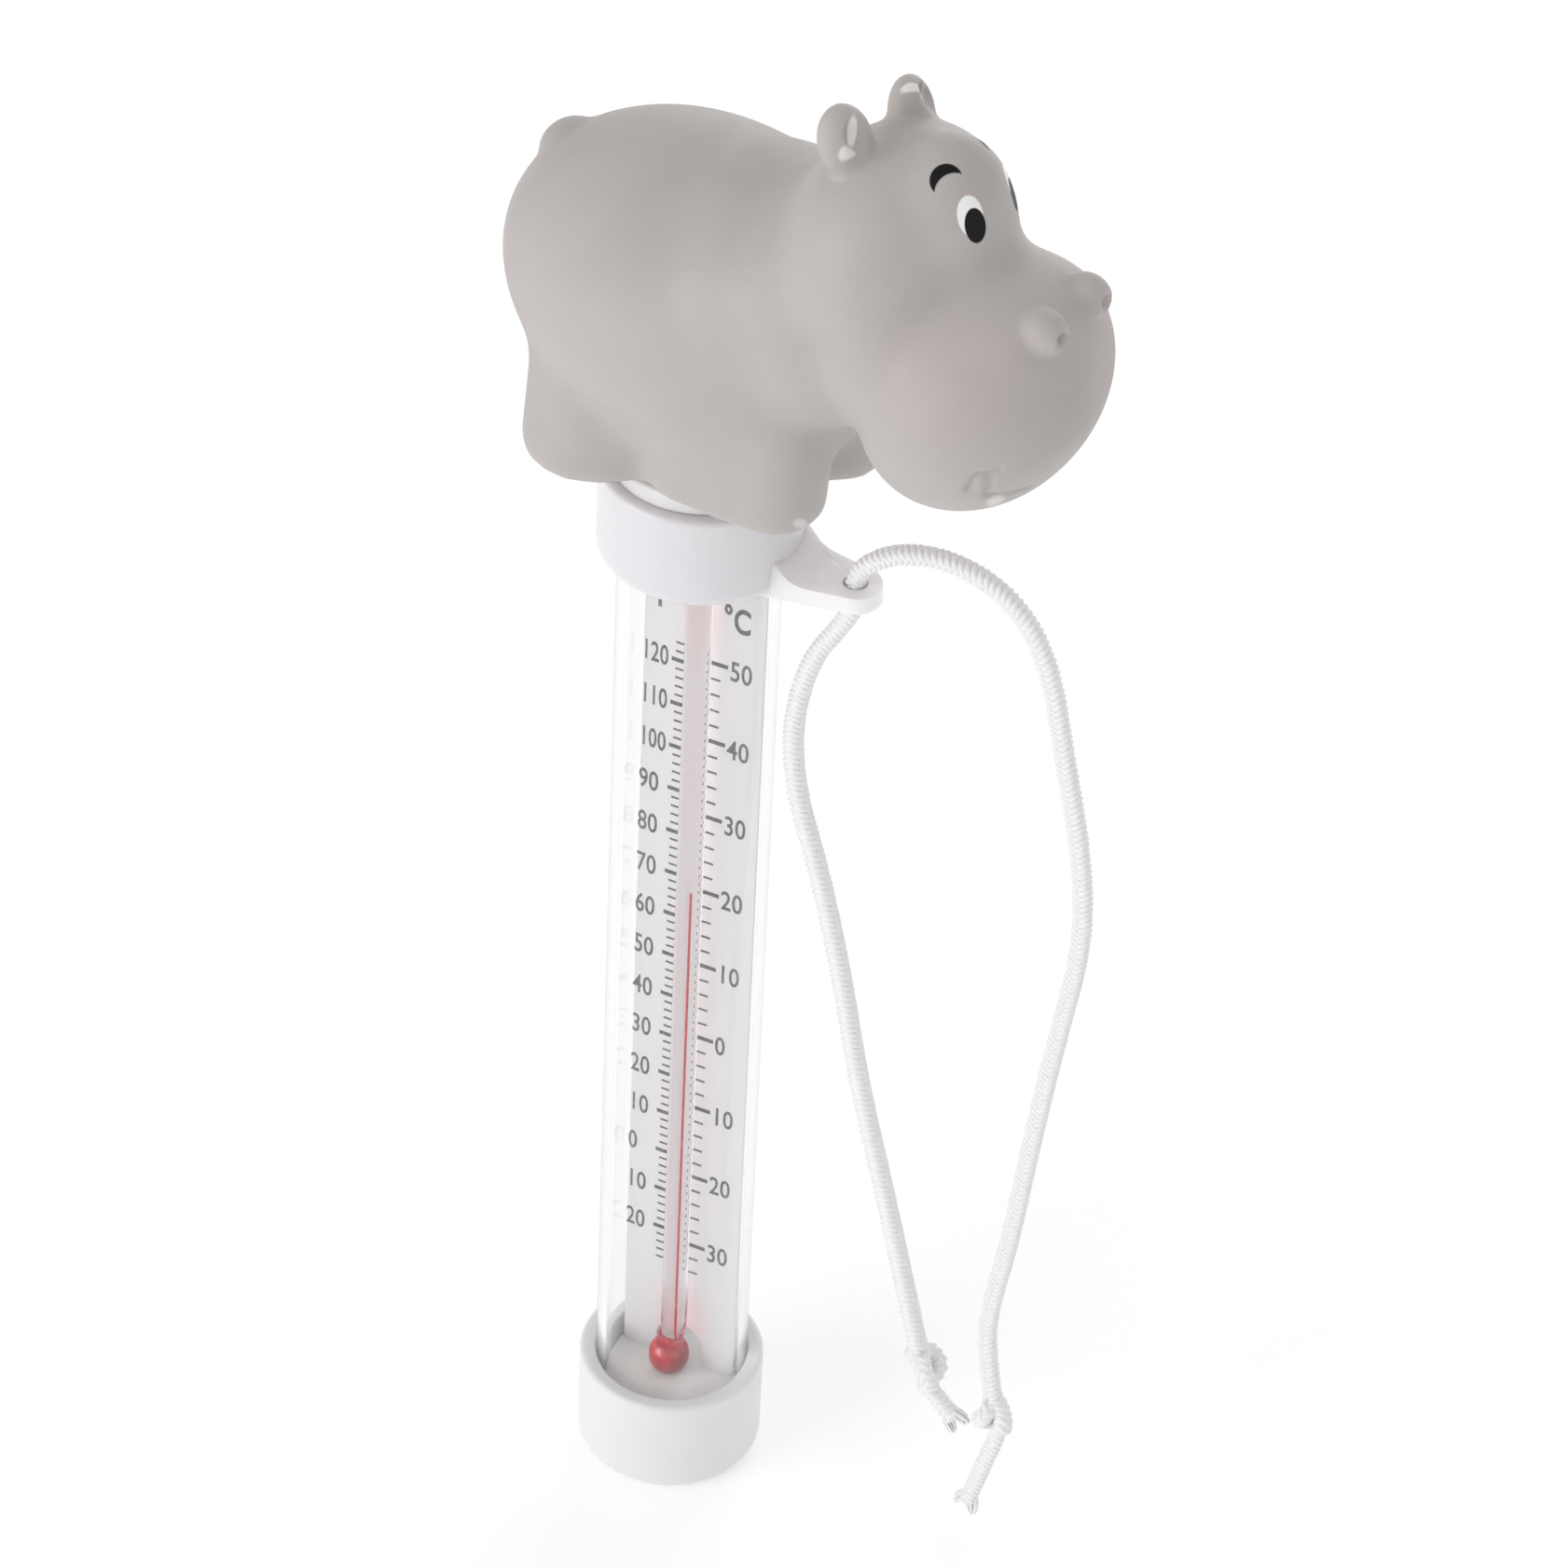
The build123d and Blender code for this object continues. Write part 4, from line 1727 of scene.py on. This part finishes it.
    def build(self, finishes: Finishes) -> None:
        """Make the stem and its spirit.

        Args:
            finishes: The thermometer's finishes.
        """
        finishes.dress(self.glass(), Slot.STEM, Body.FLOAT, "glass_stem")
        finishes.dress(self.pool(), Slot.SPIRIT, Body.FLOAT, "bulb_spirit")
        finishes.dress(self.cap(), Slot.SPIRIT, Body.MENISCUS, "spirit_meniscus")
        thread = self.thread()
        thread.data.materials.append(finishes.made[Slot.SPIRIT])
        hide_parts("spirit_column")
        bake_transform(thread)
        LOG.info("%s stretches up to the %s body", thread.name, Body.MENISCUS.value)


# ---------------------------------------------------------------- collar and plug


@dataclass
class Collar:
    """The white collar with its tether lug.

    Attributes:
        radius: Outer radius.
        low: Height of its lower face.
        high: Height of its upper face.
        lug_yaw: Direction of the lug, in degrees.
        lug_thick: Thickness of the lug at its tip.
        hole_out: Distance of the hole from the tube's axis.
        hole: Radius of the hole.
        tip: Radius of the lug's tip.
        root: Half width of the lug at the collar.
        bore: Radius of the bore for the tube.
        seat: Height of the top of that bore.
        chamber: Radius of the room above the tube.
        web: Height of the top of that room.
        pivot: Radius of the hole that the plug's pin turns in.
    """

    radius: float = 12.55
    low: float = 150.0
    high: float = 163.2
    lug_yaw: float = 9.0
    lug_thick: float = 2.2
    hole_out: float = 20.3
    hole: float = 1.5
    tip: float = 3.4
    root: float = 4.9
    bore: float = 10.03
    seat: float = 157.5
    chamber: float = 8.0
    web: float = 160.2
    pivot: float = 4.05

    def ring(self) -> bpy.types.Object:
        """Turn the collar's ring with its stepped bore.

        Returns:
            The ring.
        """
        outline = rounded(
            [
                (self.bore, self.low, 0.25),
                (self.radius - 0.1, self.low, 1.8),
                (self.radius, self.high, 0.8),
                (self.pivot, self.high, 0.2),
                (self.pivot, self.web, 0.2),
                (self.chamber, self.web, 0.3),
                (self.chamber, self.seat, 0.0),
                (self.bore, self.seat, 0.0),
            ],
            8,
        )
        return lathe("collar_ring", outline, steps=176, sharp=50.0)

    def lug(self) -> bpy.types.Object:
        """Form the flat lug: a disc with a hole, drawn out to a root that flares into the ring.

        Returns:
            The lug.
        """
        work = bmesh.new()
        bmesh.ops.create_circle(work, segments=96, radius=self.hole * MM, cap_ends=False)
        ring = list(work.edges)
        for share in (0.12, 0.45, 0.8, 0.93, 1.0):
            made = bmesh.ops.extrude_edge_only(work, edges=ring)["geom"]
            verts = [e for e in made if isinstance(e, bmesh.types.BMVert)]
            fresh = set(verts)
            ring = [
                e for e in made if isinstance(e, bmesh.types.BMEdge) and fresh.issuperset(e.verts)
            ]
            for vert in verts:
                angle = math.atan2(vert.co.y, vert.co.x)
                start = Vector((math.cos(angle), math.sin(angle))) * self.hole
                spot = start.lerp(self.outline_point(angle), share)
                vert.co = mm(spot.x, spot.y, 0.0)
        thick = self.lug_thick * MM
        bmesh.ops.solidify(work, geom=list(work.faces), thickness=thick)
        bmesh.ops.recalc_face_normals(work, faces=work.faces)
        heights = [v.co.z for v in work.verts]
        halfway = (max(heights) + min(heights)) / 2.0
        for vert in work.verts:
            vert.co.z = thick if vert.co.z > halfway else 0.0
        bmesh.ops.bevel(
            work,
            geom=[e for e in work.edges if e.is_manifold and e.calc_face_angle(0.0) > 1.0],
            offset=0.55 * MM,
            offset_type="OFFSET",
            segments=4,
            profile=0.5,
            affect="EDGES",
            material=-1,
            clamp_overlap=True,
        )
        for vert in work.verts:
            if vert.co.z > thick * 0.5:
                out = vert.co.x / MM + self.hole_out
                near = max(0.0, 1.0 - (out - 11.9) / 4.2)
                vert.co.z += (1.0 - math.sqrt(max(0.0, 1.0 - near * near))) * 3.2 * MM
        spot = Matrix.Translation(mm(self.hole_out, 0.0, self.low))
        bmesh.ops.transform(work, matrix=turned(self.lug_yaw) @ spot, verts=work.verts)
        return finished_mesh("collar_lug", work, 60.0)

    def outline_point(self, angle: float) -> Vector:
        """Find the lug's outline in a direction from the hole.

        Args:
            angle: Direction from the hole's middle, in radians, 0 pointing away from the tube.

        Returns:
            The outline's point, in millimetres from the hole's middle.
        """
        way = Vector((math.cos(angle), math.sin(angle)))
        if way.x >= 0.0:
            return way * self.tip
        back = self.hole_out - 9.0
        widening = (self.root - self.tip) / (self.hole_out - 12.0)
        slope = abs(way.y) + widening * way.x
        side = self.tip / slope if slope > 1e-6 else 1e9
        return way * min(side, back / -way.x)

    def build(self, finishes: Finishes) -> None:
        """Make the collar, its lug and the parts sealed inside it.

        Args:
            finishes: The thermometer's finishes.
        """
        finishes.dress(self.ring(), Slot.COLLAR, Body.FLOAT, "tether_collar")
        # The lug is the collar's own plastic painted lighter than the ring: painted light
        # standing in for light that shines through the thin lug.
        white = (0.90, 0.875, 0.88, 1), (0.88, 0.855, 0.86, 1), (0.26, 0.34)
        bright = Moulded("lug_painted_light", *white, 3500.0, 0.000006, 0.3, 0.1).build()
        finishes.dress(self.lug(), Slot.COLLAR, Body.FLOAT, material=bright)
        finishes.carry("top_bung", Slot.RUBBER)


@dataclass
class Pivot:
    """The frosted plug that carries the hippo, and its clip.

    Attributes:
        flange: Radius of the flange.
        low: Height of the flange's lower face.
        high: Height of the flange's upper face.
        pin: Radius of the pin that turns in the collar.
        groove: Radius of the clip's groove.
        boss: Radius of the boss that the hippo sits over.
        head: Radius of the boss's upper rim.
    """

    flange: float = 11.2
    low: float = 163.25
    high: float = 165.6
    pin: float = 4.0
    groove: float = 3.2
    boss: float = 7.45
    head: float = 8.3

    def build(self, finishes: Finishes) -> None:
        """Make the plug in one lathe shape.

        Args:
            finishes: The thermometer's finishes.
        """
        outline = rounded(
            [
                (0.0, 158.2, 0.0),
                (self.pin, 158.2, 0.3),
                (self.pin, 158.9, 0.0),
                (self.groove, 158.9, 0.0),
                (self.groove, 159.7, 0.0),
                (self.pin, 159.7, 0.0),
                (self.pin, self.low, 0.0),
                (self.flange, self.low, 0.3),
                (self.flange - 0.15, self.high, 0.7),
                (self.boss, self.high, 0.0),
                (self.boss, 169.4, 0.0),
                (self.head, 169.4, 0.2),
                (self.head, 171.2, 0.7),
                (0.0, 171.2, 0.0),
            ],
            4,
        )
        plug = lathe("plug_body", outline, sharp=45.0)
        finishes.dress(plug, Slot.PLUG, Body.FIGURE, "turning_plug")
        finishes.carry("plug_clip", Slot.SPRING)


# ---------------------------------------------------------------- hippo


@dataclass
class Lump:
    """One rounded mass of the hippo's form.

    Attributes:
        centre: Its middle, in millimetres.
        radii: Its half sizes.
        pitch: Turn about the sideways axis, nose down positive, in degrees.
        yaw: Turn about the upright axis, in degrees.
        roll: Turn about the lengthways axis, in degrees.
        paired: Whether its mirror twin is added too.
    """

    centre: Point
    radii: Point
    pitch: float = 0.0
    yaw: float = 0.0
    roll: float = 0.0
    paired: bool = False

    def add(self, work: bmesh.types.BMesh) -> None:
        """Add the mass, and its twin, to a bmesh.

        Args:
            work: The bmesh.
        """
        for side in (1.0, -1.0) if self.paired else (1.0,):
            x, y, z = self.centre
            spot = Matrix.Translation(mm(x, y * side, z))
            turn = (
                Matrix.Rotation(math.radians(self.yaw * side), 4, "Z")
                @ Matrix.Rotation(math.radians(self.pitch), 4, "Y")
                @ Matrix.Rotation(math.radians(self.roll * side), 4, "X")
            )
            size = Matrix.Diagonal((*(r * MM for r in self.radii), 1.0))
            place = spot @ turn @ size
            bmesh.ops.create_uvsphere(
                work, u_segments=40, v_segments=24, radius=1.0, matrix=place
            )


@dataclass
class Hippo:
    """The soft vinyl hippo: a body on four short legs, with a broad muzzle.

    Attributes:
        masses: The large masses, blended together.
        details: Smaller masses added after the first blend.
        foot: Height of the soles.
        posts: Place, foot radius, top radius and top height of each leg's posts.
        skirt: Lower height, upper height, lower radius and upper radius of the belly's skirt.
        mouth: Lines of the mouth's creases on the left side.
    """

    foot: float = 166.3
    masses: tuple[Lump, ...] = (
        Lump((-0.6, 0.0, 188.6), (25.6, 19.6, 19.0), 5.0),
        Lump((-10.0, 0.0, 184.4), (12.6, 15.8, 13.8)),
        Lump((10.0, 0.0, 184.0), (13.0, 14.5, 14.0)),
        Lump((-2.0, 8.6, 178.6), (9.0, 7.0, 8.2), paired=True),
        Lump((8.0, 0.0, 191.5), (18.0, 17.4, 17.4), -6.0),
        Lump((16.5, 0.0, 195.0), (16.0, 15.8, 15.6), -14.0),
        Lump((25.6, 0.0, 205.0), (12.6, 15.1, 14.9)),
        Lump((30.5, 0.0, 205.5), (9.2, 9.0, 17.0), 6.0),
        Lump((29.0, 0.0, 197.5), (13.0, 14.6, 13.0)),
        Lump((37.8, 0.0, 192.1), (13.3, 16.0, 16.7), 25.0),
        Lump((43.0, 0.0, 201.5), (7.6, 10.8, 6.6), 14.0),
    )
    details: tuple[Lump, ...] = (
        Lump((21.0, -5.5, 220.2), (2.5, 3.4, 4.7), -14.0, -18.0, 12.0),
        Lump((21.8, 6.6, 217.6), (2.6, 3.6, 4.7), -14.0, 18.0, -12.0),
        Lump((-19.4, 0.0, 198.9), (4.2, 4.4, 3.8)),
        Lump((47.7, 4.3, 205.7), (2.9, 2.5, 2.4), 20.0, 0.0, 0.0, True),
    )
    posts: tuple[tuple[float, float, float, float, float], ...] = (
        (14.3, 6.5, 6.3, 7.0, 187.0),
        (9.5, 6.9, 6.4, 8.6, 187.0),
        (4.6, 7.2, 6.3, 9.6, 187.0),
        (-9.4, 9.2, 8.7, 7.2, 186.0),
        (-7.6, 8.6, 8.0, 7.8, 186.0),
    )
    skirt: tuple[float, float, float, float] = (165.65, 185.0, 9.6, 10.5)
    mouth: tuple[tuple[Point, ...], ...] = (
        (
            (44.13, 12.51, 187.04),
            (44.6, 12.7, 188.6),
            (45.37, 12.58, 189.63),
            (46.98, 11.11, 190.01),
        ),
        (
            (46.3, 11.7, 189.4),
            (45.7, 11.0, 187.2),
            (45.23, 10.43, 185.36),
            (46.2, 8.6, 185.1),
            (47.6, 5.6, 184.9),
        ),
    )

    def post(
        self, work: bmesh.types.BMesh, place: Pair, heights: Pair, radii: Pair, around: int = 48
    ) -> None:
        """Add one upright tapered post.

        Args:
            work: The bmesh.
            place: Forward and sideways place of its axis, in millimetres.
            heights: Heights of its ends.
            radii: Radii of its ends.
            around: Divisions round it.
        """
        low, high = heights
        bmesh.ops.create_cone(
            work,
            cap_ends=True,
            segments=around,
            radius1=radii[0] * MM,
            radius2=radii[1] * MM,
            depth=(high - low) * MM,
            matrix=Matrix.Translation(mm(*place, (high + low) / 2.0)),
        )

    def legs(self, work: bmesh.types.BMesh) -> None:
        """Add the legs and the belly's skirt.

        Args:
            work: The bmesh.
        """
        for x, y, foot_r, top_r, high in self.posts:
            for side in (1.0, -1.0):
                self.post(work, (x, y * side), (self.foot, high), (foot_r, top_r))
        low, high, low_r, high_r = self.skirt
        self.post(work, (0.0, 0.0), (low, high), (low_r, high_r), 64)

    def remeshed(
        self, work: bmesh.types.BMesh, name: str, voxel: float, passes: int
    ) -> bpy.types.Object:
        """Fuse overlapping masses into one skin and smooth it.

        Args:
            work: The bmesh of overlapping closed masses.
            name: Name of the result.
            voxel: Size of the remesh, in millimetres.
            passes: Number of smoothing passes.

        Returns:
            The fused skin.
        """
        mesh = bpy.data.meshes.new(name)
        work.to_mesh(mesh)
        work.free()
        piece = placed(name, mesh)
        fuse = piece.modifiers.new("fuse", "REMESH")
        fuse.mode = "VOXEL"
        fuse.voxel_size = voxel * MM
        fuse.use_smooth_shade = True
        soften = piece.modifiers.new("soften", "SMOOTH")
        soften.factor = 0.5
        soften.iterations = passes
        fused = evaluated_mesh(piece)
        piece.modifiers.clear()
        piece.data = fused
        bpy.data.meshes.remove(mesh)
        return piece

    def press(self, work: bmesh.types.BMesh, centre: Point, radii: Point, push: Point) -> None:
        """Push the skin inside an oval region, most at its middle.

        Args:
            work: The bmesh to shape.
            centre: Middle of the region, in millimetres.
            radii: Half sizes of the region.
            push: Direction and depth of the push at its middle.
        """
        middle = mm(*centre)
        sizes = mm(*radii)
        shift = mm(*push)
        for vert in work.verts:
            offset = vert.co - middle
            reach = math.sqrt(sum((offset[i] / sizes[i]) ** 2 for i in range(3)))
            if reach < 1.0:
                vert.co += shift * smooth_step(1.0, 0.0, reach)

    def groove(
        self, work: bmesh.types.BMesh, line: Sequence[Point], width: float, push: Point
    ) -> None:
        """Press a soft groove along a line.

        Args:
            work: The bmesh to shape.
            line: Points along the groove, in millimetres.
            width: Distance from the line to the groove's edge, in millimetres.
            push: Direction and depth of the push on the line.
        """
        points = [mm(*spot) for spot in line]
        shift = mm(*push)
        low = [min(p[i] for p in points) - width * MM for i in range(3)]
        high = [max(p[i] for p in points) + width * MM for i in range(3)]
        for vert in work.verts:
            if any(vert.co[i] < low[i] or vert.co[i] > high[i] for i in range(3)):
                continue
            near = 1e9
            for a, b in zip(points, points[1:]):
                spot, share = intersect_point_line(vert.co, a, b)
                near = min(near, (vert.co - a.lerp(b, min(1.0, max(0.0, share)))).length)
            vert.co += shift * smooth_step(width * MM, 0.0, near)

    def skin(self) -> bpy.types.Object:
        """Model the whole figure.

        Returns:
            The hippo's skin.
        """
        rough = bmesh.new()
        for mass in self.masses:
            mass.add(rough)
        self.legs(rough)
        body = self.remeshed(rough, "hippo_mass", 0.8, 34)
        joined = bmesh.new()
        joined.from_mesh(body.data)
        bpy.data.objects.remove(body)
        for detail in self.details:
            detail.add(joined)
        skin = self.remeshed(joined, "hippo_skin", 0.5, 5)
        work = bmesh.new()
        work.from_mesh(skin.data)
        for side in Side:
            s = float(side.value)
            ear = (22.6, 6.0 * s, 221.6) if side is Side.RIGHT else (23.0, 7.5 * s, 219.6)
            self.press(work, ear, (2.1, 1.7, 2.9), (-1.8, 0.4 * s, 0.0))
            self.press(work, (50.4, 4.5 * s, 205.6), (1.6, 1.35, 1.4), (-1.6, -0.2 * s, 0.0))
            for line in self.mouth:
                crease = [(x, y * s, z) for x, y, z in line]
                self.groove(work, crease, 0.85, (-0.36, 0.3 * -s, 0.16))
        write_smooth(work, skin.data)
        return skin

    def paint(self) -> bpy.types.Material:
        """Spray the vinyl and paint the face.

        Returns:
            The painted vinyl.
        """
        eye = PaintSpot((36.82, -4.05, 216.23), (1.46, 2.26), 10.0)
        pupil = PaintSpot((37.42, -3.87, 215.12), (1.19, 1.92), 8.0)
        under = PaintSpot((34.94, -4.44, 218.6), (2.3, 2.3))
        brow = PaintSpot((33.55, -4.27, 219.76), (1.85, 1.85), cut=under)
        lining = PaintSpot((22.04, -5.9, 222.2), (0.55, 1.8), -4.0, 0.25, 1.5, strength=0.8)
        inner = PaintSpot((22.6, 7.5, 220.6), (0.4, 1.2), -12.0, 0.3, 1.2, strength=0.7)
        tooth = PaintSpot((45.37, -8.57, 183.62), (1.0, 0.5), 20.0, 0.4, strength=0.5)
        nail = PaintSpot((19.78, -9.07, 168.5), (0.8, 0.5), edge=0.4, strength=0.45)
        cheek = PaintSpot((40.0, -12.0, 200.0), (9.0, 8.0), edge=0.95, depth=9.0, strength=0.35)
        whites, blacks, blushes = (
            [spot for first in spots for spot in (first, first.mirrored())]
            for spots in ((eye, lining, inner, tooth, nail), (pupil, brow), (cheek,))
        )
        return Vinyl().build(whites, blacks, blushes)

    def build(self, finishes: Finishes) -> None:
        """Make and paint the figure.

        Args:
            finishes: The thermometer's finishes.
        """
        skin = self.skin()
        finishes.made[Slot.VINYL] = self.paint()
        finishes.dress(skin, Slot.VINYL, Body.FIGURE, "hippo_figure")


def main() -> None:
    """Build the thermometer."""
    bpy.context.scene.view_settings.view_transform = "Standard"
    logging.basicConfig(level=logging.INFO, format="%(name)s: %(message)s")
    finishes = Finishes()
    Studio().build()
    finishes.build()
    for strand in (LOWER, UPPER):
        strand.build(finishes)
    Foot().build(finishes)
    Tube().build(finishes)
    Insert().build(finishes, Ink().build())
    Stem().build(finishes)
    Collar().build(finishes)
    Pivot().build(finishes)
    Hippo().build(finishes)


if __name__ == "__main__":
    main()
